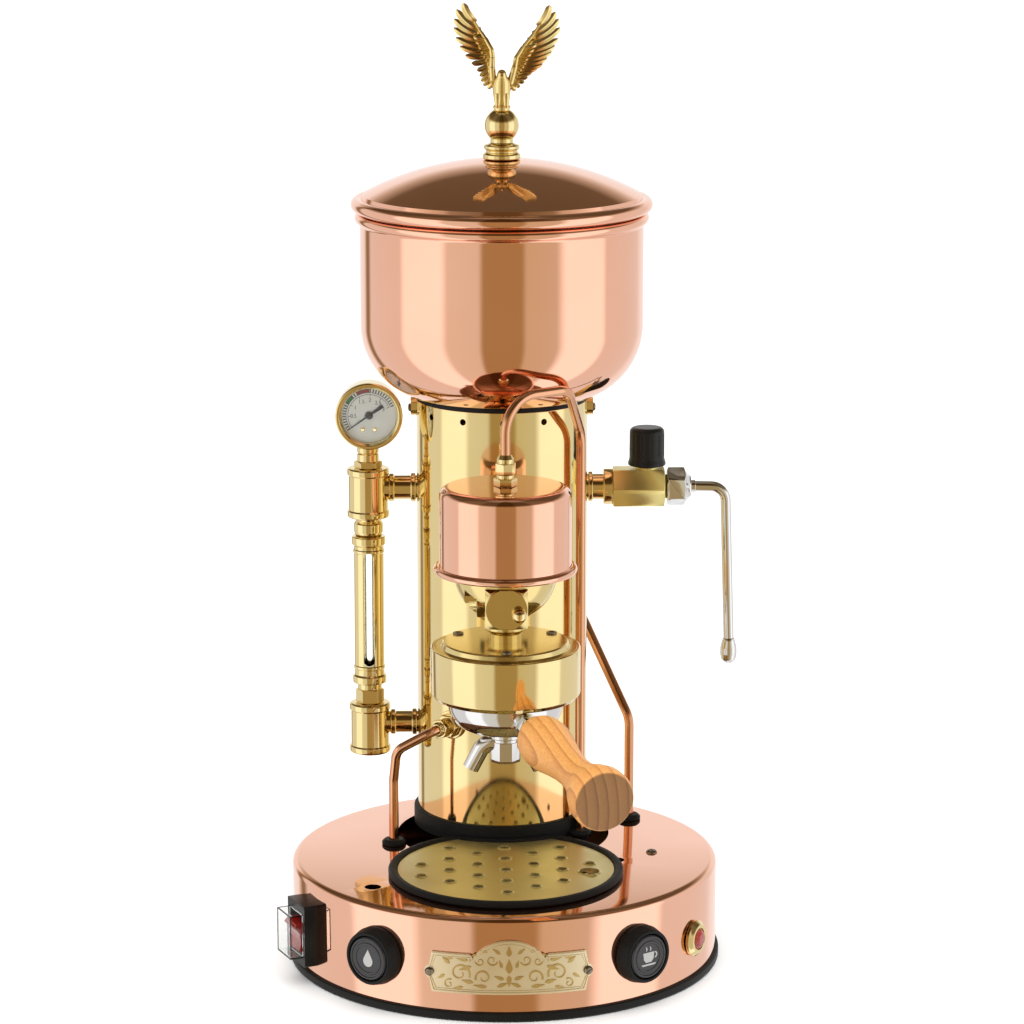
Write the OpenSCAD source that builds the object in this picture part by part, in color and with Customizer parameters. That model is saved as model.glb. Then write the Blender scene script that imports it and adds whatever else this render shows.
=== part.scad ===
// Column espresso machine: a round copper base, a brass column that hides the boiler, a copper
// water bowl with a lid and bird finial, a brew group with its filter holder, a level gauge with
// a pressure dial, and a steam tap. Front is -Y, right is +X, and the base stands on z = 0.

/* [Base] */
// Radius of the copper base drum
base_r = 130; // [126:1:140]
// Height of the top of the base
base_h = 63; // [60:1:66]
// Rounding of the drum's top edge
base_edge = 4; // [3:0.5:5]
// Radius of the rubber ring that the machine stands on
trim_r = 132; // [128:1:142]

/* [Column and bowl] */
// Distance of the column's axis behind the middle of the base
col_y = 70.5; // [69:0.5:71]
// Outer radius of the column
col_r = 53; // [52:0.5:54]
// Height of the top of the column
col_top = 334; // [332:1:336]
// Outer radius of the water bowl
bowl_r = 87; // [84:1:90]
// Radius of the bowl's rounded bottom
bowl_round = 46; // [44:1:47]
// Height of the bead around the bowl's mouth
bowl_top = 446.5; // [440:0.5:455]
// Height of the top of the lid's dome
lid_top = 482; // [480:1:490]
// Radius of the sphere that the lid's dome is part of
lid_sphere = 181; // [175:1:190]

/* [Brew group] */
// Distance of the group's axis in front of the middle of the base
group_y = 34; // [32:1:36]
// Outer radius of the brass group band
band_r = 45; // [44:0.5:46]
// Outer radius of the copper group cover
cover_r = 39.5; // [38:0.5:41]
// Angle of the filter holder to the right of straight ahead
holder_turn = 18.5; // [10:0.5:25]
// Angle at which the handle drops towards its end
handle_drop = 5; // [4:0.5:6]

/* [Gauge and steam tap] */
// Distance of the level gauge from the column's axis, along X
gauge_x = 83; // [81:0.5:85]
// Height of the two upper side pipes
side_z = 277.5; // [274:0.5:280]
// Radius of the pressure dial's rim
dial_r = 20.8; // [20:0.1:22]
// Distance of the steam tap's knob from the column's axis
tap_x = 90; // [89:0.5:91]

/* [Drip tray] */
// Distance of the tray's middle in front of the middle of the base
tray_y = 42; // [41:0.5:43]
// Outer radius of the tray's rubber rim
rim_r = 71; // [69:0.5:72]
// Outer radius of the brass grille
grille_r = 65.4; // [63:0.2:66]

/* [Hidden] */
$fn = 96;
sheet = 1.5;
thin = 1.2;
gap = 0.3;
fit = 0.05;
cut = 1;
pipe_r = 3;
foot_ring_r = 55.5;
foot_ring_h = 11;
vent_count = 13;
screw_r = 2.6;
bowl_flat_r = bowl_r - bowl_round;
bowl_mid_z = col_top + 0.4 + bowl_round;
grille_top = base_h + 3;
block_front = group_y + 26;
button_turn = 36.5;
button_z = 33;
pilot_turn = 59.5;
pilot_z = 29;
switch_turn = 66.5;
switch_z = 31;
gland_z = 24;
plate_screw_turn = 20.7;
handle_start = 52;
handle_len = 114;
holder_z = 163;
feed_hole = [47.6, 35.8];
drain_hole = [80, 68];
fill_hole = [-68, 18];
drain_turn = 41.8;
drain_z = 207;
fill_turn = 36;
fill_z = 137;

// Points on an arc, for the outlines that are turned
function arc(mx, mz, r, from, to, steps = 12) =
    [for (i = [0:steps]) let (a = from + (to - from) * i / steps) [mx + r * cos(a), mz + r * sin(a)]];

function unit(v) = v / norm(v);

// A round tube from z = 0 to z = h
module ring(r_out, r_in, h) {
    difference() {
        cylinder(r = r_out, h = h);
        translate([0, 0, -cut]) cylinder(r = r_in, h = h + 2 * cut);
    }
}

// A hexagon bar along z, by its width across flats
module hex_bar(flats, h) {
    cylinder(r = flats / 2 / cos(30), h = h, $fn = 6);
}

// The route of a pipe: its corners are rounded with one bend radius, or with one for each corner
function rounded(pts, bend, steps = 7) =
    let (last = len(pts) - 1)
    concat([pts[0]],
           [for (i = [1:last - 1])
               for (q = corner(pts[i], unit(pts[i] - pts[i - 1]), unit(pts[i + 1] - pts[i]),
                               is_list(bend) ? bend[i - 1] : bend, steps)) q],
           [pts[last]]);

function corner(p, a, b, bend, steps) =
    let (turn = acos(a * b), side = unit(b - a * (a * b)), mid = p - a * bend * tan(turn / 2) + side * bend)
    [for (i = [0:steps]) mid + bend * (sin(turn * i / steps) * a - cos(turn * i / steps) * side)];

function across(dir, up) = unit(up - dir * (up * dir));

// Side directions carried from ring to ring, so that the tube doesn't twist
function carried(dirs, up, i = 0) =
    let (u = across(dirs[i], up)) i == len(dirs) - 1 ? [u] : concat([u], carried(dirs, u, i + 1));

// A solid pipe along a list of points
module pipe_run(pts, bend, r, sides = 16) {
    p = rounded(pts, bend);
    last = len(p) - 1;
    dirs = [for (i = [0:last]) unit(p[min(i + 1, last)] - p[max(i - 1, 0)])];
    start = abs(dirs[0][1]) < 0.9 ? [0, 1, 0] : [1, 0, 0];
    ups = carried(dirs, start);
    rings = [for (i = [0:last], k = [0:sides - 1])
        let (t = 360 * k / sides) p[i] + r * (cos(t) * ups[i] + sin(t) * cross(dirs[i], ups[i]))];
    walls = [for (i = [0:last - 1], k = [0:sides - 1])
        let (n = (k + 1) % sides) [i * sides + k, (i + 1) * sides + k, (i + 1) * sides + n, i * sides + n]];
    ends = [[for (k = [0:sides - 1]) k], [for (k = [sides - 1:-1:0]) last * sides + k]];
    polyhedron(points = rings, faces = concat(walls, ends), convexity = 8);
}

// Places a thing on the drum's side, its +Z pointing straight out, at an angle from the front
module on_drum(turn, z, r = base_r) {
    rotate([0, 0, turn]) translate([0, -r, z]) rotate([90, 0, 0]) children();
}

// The drum's solid up to a given inset, used for the shell and for flush cuts
module drum_solid(inset, z_low) {
    r = base_r - inset;
    z = base_h - inset;
    e = base_edge - inset;
    rotate_extrude()
        polygon(concat([[0, z_low], [r, z_low]], arc(r - e, z - e, e, 0, 90, 6), [[0, z]]));
}

module base_shell() {
    color("#e39a78")
        difference() {
            drum_solid(0, 3);
            drum_solid(sheet, 3 - cut);
            translate([0, 0, base_h - 5]) linear_extrude(10) tray_outline(66);
            translate([0, col_y, base_h - 5]) cylinder(r = 38, h = 10);
            for (p = [feed_hole, drain_hole, fill_hole])
                translate([p[0], p[1], base_h - 5]) cylinder(r = 5, h = 10);
            for (s = [-1, 1]) on_drum(s * button_turn, button_z, base_r - 8) cylinder(r = 12.2, h = 20);
            on_drum(pilot_turn, pilot_z, base_r - 8) cylinder(r = 6.2, h = 20);
            on_drum(-switch_turn, switch_z, base_r - 8)
                translate([-11.2, -14.2, 0]) cube([22.4, 28.4, 20]);
            on_drum(180, gland_z, base_r - 8) cylinder(r = 7.2, h = 20);
        }
}

module base_plate() {
    color("#8d9092")
        translate([0, 0, 3]) difference() {
            cylinder(r = base_r - sheet - gap, h = sheet);
            for (a = [45:90:315])
                rotate([0, 0, a]) translate([110, 0, -cut]) cylinder(r = 2.2, h = 4);
        }
}

module base_trim_ring() {
    color("#1b1a19")
        rotate_extrude()
            polygon([[120, 0], [trim_r - 1, 0], [trim_r, 1], [trim_r, 4.5], [trim_r - 1, 5.5],
                     [base_r, 5.5], [base_r, 3], [120, 3]]);
}

// Rubber bushes where the three pipes go through the top of the base
module pipe_grommets() {
    color("#1b1a19")
        difference() {
            for (p = [feed_hole, drain_hole, fill_hole])
                translate([p[0], p[1], 0]) rotate_extrude()
                    polygon([[pipe_r, base_h - 3], [4.9, base_h - 3], [4.9, base_h], [7.5, base_h],
                             [7.5, base_h + 2], [6, base_h + 3.5], [pipe_r, base_h + 3.5]]);
            translate([0, col_y, base_h]) cylinder(r = foot_ring_r + fit, h = 20);
        }
}

module column_casing() {
    color("#d9b64e")
        translate([0, col_y, 0]) difference() {
            translate([0, 0, base_h]) ring(col_r, col_r - sheet, col_top - base_h);
            for (i = [0:vent_count - 1])
                rotate([0, 0, i * 360 / vent_count]) translate([0, -col_r + 5, 327.5])
                    rotate([90, 0, 0]) cylinder(r = 2, h = 10);
            for (z = [side_z, 127]) translate([-col_r + 5, 0, z]) rotate([0, -90, 0]) cylinder(r = 7.8, h = 10);
            translate([col_r - 5, 0, side_z]) rotate([0, 90, 0]) cylinder(r = 8.2, h = 10);
            rotate([0, 0, -fill_turn]) translate([0, -col_r + 5, fill_z])
                rotate([90, 0, 0]) cylinder(r = 5.2, h = 10);
            translate([-15.2, -col_r - cut, 219.8]) cube([30.4, 10, 24.4]);
            rotate([0, 0, drain_turn]) translate([col_r - 5, 0, drain_z]) rotate([0, 90, 0]) cylinder(r = 3.6, h = 10);
        }
}

module column_foot_ring() {
    color("#1b1a19")
        translate([0, col_y, 0]) rotate_extrude()
            polygon([[col_r, base_h], [foot_ring_r, base_h], [foot_ring_r, base_h + foot_ring_h - 1],
                     [foot_ring_r - 1, base_h + foot_ring_h], [col_r, base_h + foot_ring_h]]);
}

module column_gasket() {
    color("#1b1a19")
        translate([0, col_y, 0]) difference() {
            translate([0, 0, col_top]) ring(col_r, col_r - 6, 4);
            bowl_solid(0);
        }
}

// Hollow pressure vessel that stands inside the column on its own short skirt
module boiler() {
    r = 43;
    color("#c77b52")
        translate([0, col_y, 0]) difference() {
            union() {
                translate([0, 0, 74]) cylinder(r = r, h = 226);
                translate([0, 0, base_h]) ring(r, r - 3, 12);
                for (z = [side_z, 127])
                    translate([-r + 4, 0, z]) rotate([0, -90, 0]) cylinder(r = 6.5, h = 4.5);
                translate([r - 4, 0, side_z]) rotate([0, 90, 0]) cylinder(r = 6.5, h = 4.5);
            }
            translate([0, 0, 77]) cylinder(r = r - 2, h = 220);
            translate([0, 0, 70]) cylinder(r = 18, h = 12);
            translate([0, -r, 232]) rotate([90, 0, 0]) cylinder(r = 5, h = 30, center = true);
        }
}

module heating_element() {
    color("#a9adb0")
        translate([0, col_y, 0]) {
            translate([0, 0, 69]) cylinder(r = 26, h = 5);
            translate([0, 0, 74]) cylinder(r = 17.9, h = 6);
            for (s = [-1, 1]) translate([0, 9 * s, 0])
                pipe_run([[-10, 0, 78], [-10, 0, 190], [10, 0, 190], [10, 0, 78]], 9.5, 3.2);
        }
}

// The bowl's body of turned metal, inset by the sheet's thickness for its inside
module bowl_solid(inset) {
    r = bowl_r - inset;
    rotate_extrude()
        polygon(concat([[0, bowl_mid_z - bowl_round + inset]],
                       arc(bowl_flat_r, bowl_mid_z, bowl_round - inset, -90, 0, 16),
                       [[r, bowl_top + inset], [0, bowl_top + inset]]));
}

module water_bowl() {
    color("#e39a78")
        translate([0, col_y, 0]) difference() {
            union() {
                bowl_solid(0);
                translate([0, 0, bowl_top]) rotate_extrude() translate([bowl_r, 0]) circle(r = 3.2, $fn = 24);
            }
            bowl_solid(thin);
            translate([0, 0, bowl_top - thin]) cylinder(r = bowl_r - thin, h = 10);
            translate([0, 0, col_top - 5]) cylinder(r = 5, h = 12);
        }
}

// Two straps on the column's sides that carry the bowl
module bowl_lugs() {
    color("#c9a23c")
        translate([0, col_y, 0]) for (s = [0, 1]) mirror([s, 0, 0]) difference() {
            intersection() {
                translate([0, 0, 323]) ring(col_r + 3.6, col_r + 0.02, 14);
                translate([col_r - 12, -7, 323]) cube([20, 14, 14]);
                translate([0, 0, 330]) rotate([0, 90, 0]) cylinder(r = 7, h = 80);
            }
            bowl_solid(-0.01);
        }
}

module lid() {
    mid = lid_top - lid_sphere;
    edge = asin(88 / lid_sphere);
    color("#e39a78")
        translate([0, col_y, 0]) {
            rotate_extrude()
                polygon(concat(arc(0, mid, lid_sphere, 90, 90 - edge, 14),
                               arc(0, mid, lid_sphere - thin, 90 - edge, 90, 14)));
            rotate_extrude() translate([88.3, 454.6]) circle(r = 4.2, $fn = 24);
            rotate_extrude() polygon([[83.3, 440], [84.5, 440], [84.5, 452], [87, 452], [87, 455], [83.3, 455]]);
        }
}

module finial_stem() {
    color("#d9b64e")
        translate([0, col_y, lid_top]) {
            rotate_extrude() polygon([[0, 0], [11.6, 0], [11.6, 3], [10, 4.2], [10, 5], [11, 6.2], [11, 8.5],
                                      [7, 9.6], [7, 12], [0, 12]]);
            translate([0, 0, 20.4]) sphere(r = 10.6);
            translate([0, 0, 29]) cylinder(r = 5, h = 4);
        }
}

// One raised wing: a fan of feathers that follows a rising curve
module wing() {
    feathers = 9;
    for (i = [0:feathers - 1]) {
        t = i / (feathers - 1);
        root = [9 + 7 * t, 7 + 24 * t];
        reach = 24 + 0.6 * t;
        lean = 22 + 42 * t;
        translate([root[0], root[1], 0]) rotate([0, 0, lean]) translate([0, 0, -1.6])
            linear_extrude(3.2) union() {
                translate([0, -2.4]) square([reach, 4.8]);
                translate([reach, 0]) circle(r = 2.4, $fn = 24);
                circle(r = 2.4, $fn = 24);
            }
    }
    translate([0, 0, -1.6]) linear_extrude(3.2)
        polygon([[0, 2], [10, 3], [18, 30], [14, 34], [8, 14], [0, 12]]);
}

module finial_bird() {
    color("#d9b64e")
        translate([0, col_y, lid_top + 33]) {
            cylinder(r1 = 5, r2 = 3.5, h = 5);
            translate([0, 0, 11]) sphere(r = 8);
            translate([0, -3.5, 18]) sphere(r = 4);
            translate([0, -6, 17.6]) rotate([90, 0, 0]) cylinder(r1 = 2, r2 = 0.6, h = 5);
            for (s = [0, 1]) mirror([s, 0, 0]) translate([0, 1, 6]) rotate([90, 0, 0]) wing();
        }
}

module tee(body_r, low, high, pipe_z, branch_r) {
    difference() {
        union() {
            translate([0, 0, low]) cylinder(r = body_r, h = high - low);
            translate([0, 0, pipe_z]) rotate([0, 90, 0]) cylinder(r = branch_r, h = gauge_x - 44);
            translate([gauge_x - col_r - 3.5, 0, pipe_z]) rotate([0, 90, 0]) cylinder(r = branch_r + 1.5, h = 2.8);
        }
        translate([0, 0, pipe_z]) rotate([0, 90, 0]) cylinder(r = branch_r - 2.5, h = gauge_x);
    }
}

module gauge_tees() {
    color("#d9b64e")
        translate([-gauge_x, col_y, 0]) {
            difference() {
                tee(13.2, 259, 290.3, side_z, 7.6);
                translate([0, 0, 259 - cut]) cylinder(r = 4.3, h = 24);
            }
            difference() {
                tee(12.9, 108, 140, 127, 6.8);
                translate([0, 0, 120]) cylinder(r = 4.3, h = 24);
            }
        }
}

module sight_guard() {
    color("#d9b64e")
        translate([-gauge_x, col_y, 0]) difference() {
            rotate_extrude() polygon([[7.4, 153], [10.6, 153], [10.6, 157.5], [9.4, 158.5], [9.4, 241],
                                      [10.6, 242], [10.6, 247], [7.4, 247]]);
            for (z = [168, 234]) translate([0, 0, z]) rotate([90, 0, 0]) cylinder(r = 3.4, h = 40, center = true);
            translate([-3.4, -20, 168]) cube([6.8, 40, 66]);
        }
}

module sight_glass() {
    color("#dfeef0", 0.5)
        translate([-gauge_x, col_y, 128]) ring(4.2, 2.8, 142);
}

// Gland nuts at both ends of the sight glass and the nut under the dial
module gauge_nuts() {
    color("#d9b64e")
        translate([-gauge_x, col_y, 0]) {
            rotate_extrude() polygon([[4.4, 247], [8.2, 247], [9.2, 250], [9.2, 255], [8, 257], [9.2, 259],
                                      [4.4, 259]]);
            difference() {
                translate([0, 0, 140]) hex_bar(15.4, 9);
                translate([0, 0, 140 - cut]) cylinder(r = 4.4, h = 12);
            }
            translate([0, 0, 149]) ring(7.6, 4.4, 4);
            translate([0, 0, 290.3]) hex_bar(15.4, 4.4);
            translate([0, 0, 294.7]) cylinder(r = 6.8, h = 11);
        }
}

// The dial's parts share this place: the middle of the dial's front
module at_dial() {
    translate([-gauge_x + 1, col_y - 15.5, 325]) rotate([90, 0, 0]) children();
}

module gauge_case() {
    color("#d9b64e")
        difference() {
            at_dial() {
                translate([0, 0, -22]) cylinder(r = dial_r - 0.8, h = 20);
                translate([0, 0, -5]) cylinder(r = dial_r, h = 5);
            }
            at_dial() {
                translate([0, 0, -19]) cylinder(r = 17.2, h = 30);
                translate([0, 0, -3]) cylinder(r = 17.6, h = 1.4);
            }
            translate([-gauge_x, col_y, 294]) cylinder(r = 6.8, h = 11.7);
        }
}

module gauge_dial() {
    color("#f4f1e6")
        at_dial() translate([0, 0, -6.8]) difference() {
            cylinder(r = 17.1, h = 0.8);
            translate([0, 0, -cut]) cylinder(r = 0.75, h = 3);
        }
}

module gauge_glass() {
    color("#dfeef0", 0.4)
        at_dial() translate([0, 0, -2.8]) cylinder(r = 17.5, h = 1);
}

module gauge_needle() {
    color("#161616")
        at_dial() translate([0, 0, -5.4]) {
            cylinder(r = 2.2, h = 0.8);
            translate([0, 0, -6]) cylinder(r = 0.7, h = 6.5);
            rotate([0, 0, 215]) linear_extrude(0.6)
                polygon([[-10, -1.1], [-10, 1.1], [0, 0.9], [15.2, 0.3], [15.2, -0.3], [0, -0.9]]);
        }
}

module steam_pipe() {
    color("#d9b64e")
        translate([0, col_y, side_z]) rotate([0, 90, 0]) difference() {
            union() {
                translate([0, 0, 47.6]) cylinder(r = 8, h = 16);
                translate([0, 0, col_r + 0.6]) cylinder(r = 9.5, h = 2.6);
                translate([0, 0, 63]) cylinder(r = 11.5, h = 5.6);
            }
            translate([0, 0, 40]) cylinder(r = 5, h = 40);
        }
}

module steam_valve_body() {
    color("#d2a93a")
        translate([0, col_y, side_z]) difference() {
            union() {
                rotate([0, 90, 0]) rotate([0, 0, 30]) translate([0, 0, 68.6]) hex_bar(23, 32.4);
                rotate([0, 90, 0]) translate([0, 0, 100]) cylinder(r = 7.5, h = 7);
                translate([tap_x, 0, 0]) cylinder(r = 7, h = 13);
            }
            translate([tap_x, 0, -4]) cylinder(r = 3.05, h = 30);
            rotate([0, 90, 0]) translate([0, 0, 96]) cylinder(r = 4.5, h = 20);
        }
}

module steam_stem() {
    color("#b9bcc0")
        translate([tap_x, col_y, side_z - 3.5]) cylinder(r = 3, h = 30);
}

module steam_knob() {
    color("#141414")
        translate([tap_x, col_y, 0]) difference() {
            union() {
                translate([0, 0, 291.2]) cylinder(r = 11.9, h = 3);
                translate([0, 0, 294.2]) cylinder(r = 10.9, h = 19.8);
                translate([0, 0, 314]) cylinder(r1 = 10.9, r2 = 9.9, h = 1);
            }
            translate([0, 0, 290]) cylinder(r = 3, h = 14);
        }
}

// Chrome union nut that holds the wand's ball
module steam_nut() {
    color("#c9ccd0")
        translate([0, col_y, side_z]) rotate([0, 90, 0]) difference() {
            union() {
                translate([0, 0, 102.4]) hex_bar(21, 12.6);
                translate([0, 0, 115]) cylinder(r1 = 10, r2 = 7, h = 2.5);
            }
            translate([0, 0, 102.4 - cut]) cylinder(r = 7.55, h = 5.6);
            translate([0, 0, 111]) sphere(r = 6.35);
            translate([0, 0, 106]) cylinder(r = 6, h = 5);
            translate([0, 0, 102]) cylinder(r = 3.9, h = 20);
        }
}

// The wand's tube, set into the bored collar of the ball that it swivels on
module steam_wand() {
    color("#c9ccd0") {
        translate([0, col_y, side_z]) rotate([0, 90, 0]) difference() {
            union() {
                translate([0, 0, 111]) sphere(r = 6);
                translate([0, 0, 112]) cylinder(r = 3.8, h = 8.5);
            }
            translate([0, 0, 116]) cylinder(r = 3.4, h = 10);
        }
        pipe_run([[116.1, col_y, side_z], [139, col_y, side_z], [142.2, col_y, 180.3]], 12, 3.3);
    }
}

module steam_tip() {
    color("#c9ccd0")
        translate([142.2, col_y, 0]) difference() {
            rotate_extrude() polygon([[0, 164], [2.6, 164], [4.8, 167], [5.3, 170], [5.2, 174], [4, 179],
                                      [3.6, 180], [0, 180]]);
            for (a = [0:90:270]) rotate([0, 0, a]) translate([2.2, 0, 160]) cylinder(r = 0.7, h = 9);
            translate([0, 0, 169]) cylinder(r = 1.5, h = 30);
        }
}

module at_group() {
    translate([0, -group_y, 0]) children();
}

// Cast brass group: a rounded cup under the cover, the square arm back to the boiler, the neck
module group_body() {
    arm_back = group_y + col_y - 44;
    color("#cfa53a")
        at_group() difference() {
            union() {
                rotate_extrude()
                    polygon(concat([[0, 217], [10, 217]], arc(0, 249, 31, -70, 0, 10), [[31, 251], [0, 251]]));
                translate([-15, -26, 220]) cube([30, 26 + arm_back, 24]);
                translate([0, 0, 206]) cylinder(r = 12.8, h = 14);
                translate([0, 0, 251]) cylinder(r = 6, h = 40);
            }
            translate([9.4, -40, 229.5]) rotate([-90, 0, 0]) cylinder(r = 2, h = 22);
            translate([0, -27, 232]) rotate([90, 0, 0]) ring(16, 13.6, 1.6);
            translate([0, 0, 200]) cylinder(r = 4, h = 32);
            translate([0, 0, 232]) rotate([-90, 0, 0]) cylinder(r = 4, h = 90);
            translate([-15, -14, 232]) rotate([0, -90, 0]) cylinder(r = 9, h = 30);
        }
}

// Ball-headed setting screw on the arm's face and the hexagon plug on its left
module group_plug() {
    color("#d9b64e")
        at_group() {
            translate([9.4, -30.5, 229.5]) sphere(r = 4.4);
            translate([9.4, -28, 229.5]) rotate([-90, 0, 0]) cylinder(r = 1.95, h = 8);
            translate([-15, -14, 232]) rotate([0, -90, 0]) hex_bar(15, 5);
        }
}

module group_cover() {
    color("#e0916c")
        at_group() {
            rotate_extrude()
                polygon(concat([[cover_r, 250]], arc(cover_r - 6, 294, 6, 0, 90, 8), [[6.1, 300], [6.1, 298.8]],
                               arc(cover_r - 6, 294, 4.8, 90, 0, 8), [[cover_r - thin, 250]]));
            rotate_extrude() translate([cover_r + 1.2, 250]) circle(r = 2.2, $fn = 24);
        }
}

module group_top_plate() {
    color("#c9a23c")
        at_group() difference() {
            union() {
                translate([0, 0, 196]) cylinder(r = 37.7, h = 10);
                translate([0, 0, 200]) cylinder(r = 43, h = 2.5);
            }
            translate([0, 0, 190]) cylinder(r = 4, h = 30);
            translate([0, 0, 205.9]) cylinder(r = 12.8, h = 5);
            for (a = [30, 150, 270]) rotate([0, 0, a]) translate([32.5, 0, 195]) cylinder(r = 1.6, h = 20);
        }
}

// Brass band with the two slotted ledges that the filter holder's ears lock on
module group_band() {
    color("#d9b64e")
        at_group() difference() {
            rotate_extrude()
                polygon([[35.2, 171.5], [43, 171.5], [band_r, 174.5], [band_r, 201.5], [44, 202.5],
                         [43.05, 202.5], [43.05, 200], [39.2, 200], [39.2, 176.4], [35.2, 175.2]]);
            for (a = [0, 180]) rotate([0, 0, a - 90 + holder_turn - 62]) wedge_cut(171, 176.5, 34);
        }
}

// A sector cut through the ledge, where an ear goes in
module wedge_cut(low, high, spread) {
    translate([0, 0, low]) rotate([0, 0, -spread / 2]) rotate_extrude(angle = spread)
        polygon([[34, 0], [39.2, 0], [39.2, high - low], [34, high - low]]);
}

module group_gasket() {
    color("#1b1a19")
        at_group() translate([0, 0, 187.3]) ring(36, 28.6, 8.7);
}

module shower_screen() {
    color("#b9bcc0")
        at_group() difference() {
            translate([0, 0, 187.3]) cylinder(r = 28.3, h = 2);
            for (r = [8, 16, 23])
                for (i = [0:5]) rotate([0, 0, i * 60 + r]) translate([r, 0, 180]) cylinder(r = 0.9, h = 20);
        }
    color("#b9bcc0")
        at_group() translate([0, 0, 189.3]) ring(28.3, 26.5, 6.7);
}

// Places a thing along the handle: z runs outwards from the group's axis, dropping a little
module at_handle(from) {
    at_group() rotate([0, 0, holder_turn]) translate([0, -36, holder_z])
        rotate([90 + handle_drop, 0, 0]) translate([0, 0, from - 36]) children();
}

module portafilter() {
    color("#c9ccd0")
        difference() {
            union() {
                at_group() rotate_extrude()
                    polygon(concat([[0, 151], [11, 151]], arc(18.5, 167, 16, -75, 0, 8),
                                   [[34.5, 185], [37, 185], [37, 187], [0, 187]]));
                at_group() for (a = [0, 180]) rotate([0, 0, a - 90 + holder_turn - 12])
                    translate([0, 0, 177]) rotate_extrude(angle = 24) polygon([[30, 0], [38.6, 0], [38.6, 6], [30, 6]]);
                at_handle(30) hex_bar(12.6, 16);
                at_handle(44) cylinder(r = 5.5, h = 8);
            }
            at_group() translate([0, 0, 159.5]) cylinder(r = 29.2, h = 40);
            at_group() translate([0, 0, 155]) cylinder(r = 22, h = 10);
            at_group() translate([0, 0, 140]) cylinder(r = 5, h = 20);
        }
}

module filter_basket() {
    color("#b9bcc0")
        at_group() difference() {
            translate([0, 0, 160]) cylinder(r = 28.8, h = 27);
            translate([0, 0, 160.8]) cylinder(r = 28, h = 40);
            for (r = [6, 12, 18, 24])
                for (i = [0:r - 1]) rotate([0, 0, i * 360 / r]) translate([r, 0, 150]) cylinder(r = 0.6, h = 20);
        }
}

module spout_arm() {
    pipe_run([[4, 0, 143], [-13, 0, 142], [-21, 0, 126.5]], 9, 5);
}

module coffee_spout() {
    color("#c9ccd0")
        at_group() difference() {
            union() {
                translate([0, 0, 131]) cylinder(r = 10, h = 14, $fn = 8);
                translate([0, 0, 144]) cylinder(r = 9.5, h = 7);
                spout_arm();
                mirror([1, 0, 0]) spout_arm();
            }
            translate([0, 0, 138]) cylinder(r = 4, h = 30);
        }
}

module wood_handle() {
    color("#c98a4b")
        at_handle(handle_start) rotate_extrude()
            polygon([[0, 0], [9, 0], [12.5, 4], [15, 11], [15.6, 19], [14.8, 28], [12.6, 40], [10.8, 52],
                     [10.1, 64], [10.6, 76], [12.6, 86], [16, 95], [18.2, 103], [18.4, 110], [17, 114],
                     [0, 114]]);
}

module group_pipe() {
    top = 353;
    color("#c9764c")
        pipe_run([[0, -group_y, 300.2], [0, -group_y, top], [38, 28 - group_y, top],
                  [feed_hole[0], feed_hole[1], 318], [feed_hole[0], feed_hole[1], base_h - 12]],
                 [22, 16, 18], pipe_r - fit);
}

function off_column(r, turn, z) = [r * cos(turn), col_y + r * sin(turn), z];

module drain_pipe() {
    color("#c9764c")
        pipe_run([off_column(col_r - 1, drain_turn, drain_z), off_column(col_r + 3.3, drain_turn, drain_z),
                  [drain_hole[0], drain_hole[1], 129], [drain_hole[0], drain_hole[1], base_h - 12]],
                 [5, 16], pipe_r - fit);
}

module fill_pipe() {
    turn = -90 - fill_turn;
    color("#c9764c")
        pipe_run([off_column(col_r + 13, turn, fill_z), off_column(col_r + 22, turn, fill_z),
                  [-66, fill_hole[1] - 4, 124], [fill_hole[0], fill_hole[1], 104],
                  [fill_hole[0], fill_hole[1], base_h - 12]], [8, 10, 10], pipe_r - fit);
}

module pipe_fittings() {
    color("#d9b64e") {
        at_group() {
            translate([0, 0, 300]) difference() {
                union() {
                    hex_bar(12.4, 5);
                    translate([0, 0, 5]) cylinder(r = 5.4, h = 2);
                    translate([0, 0, 7]) hex_bar(11.2, 7);
                    translate([0, 0, 14]) cylinder(r = 5.2, h = 5.2);
                }
                translate([0, 0, -cut]) cylinder(r = pipe_r, h = 30);
            }
        }
        translate([0, col_y, fill_z]) rotate([0, 0, -fill_turn]) rotate([90, 0, 0]) difference() {
            union() {
                translate([0, 0, col_r - 4]) cylinder(r = 5, h = 6);
                translate([0, 0, col_r + 0.4]) cylinder(r = 9, h = 2.4);
                translate([0, 0, col_r + 2.8]) hex_bar(13, 5);
                translate([0, 0, col_r + 7.8]) cylinder(r = 5, h = 2);
                translate([0, 0, col_r + 9.8]) hex_bar(11, 5.4);
                translate([0, 0, col_r + 15.2]) cylinder(r = 4.6, h = 2.4);
            }
            translate([0, 0, col_r + 12]) cylinder(r = pipe_r + 0.6, h = 20);
        }
    }
}

module tray_outline(r) {
    difference() {
        translate([0, -tray_y]) circle(r = r);
        translate([0, col_y]) circle(r = foot_ring_r + gap + rim_r - r);
    }
}

module drip_tray() {
    color("#b9bcc0")
        difference() {
            translate([0, 0, 41]) linear_extrude(base_h - 41) tray_outline(65);
            translate([0, 0, 42.2]) linear_extrude(base_h) tray_outline(63.8);
        }
}

module tray_ring() {
    color("#1b1a19")
        difference() {
            translate([0, 0, base_h]) linear_extrude(4.6) tray_outline(rim_r);
            translate([0, 0, base_h - cut]) linear_extrude(cut + 1.4) tray_outline(64);
            translate([0, 0, base_h + 1.4]) linear_extrude(10) tray_outline(grille_r + gap);
        }
}

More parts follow.
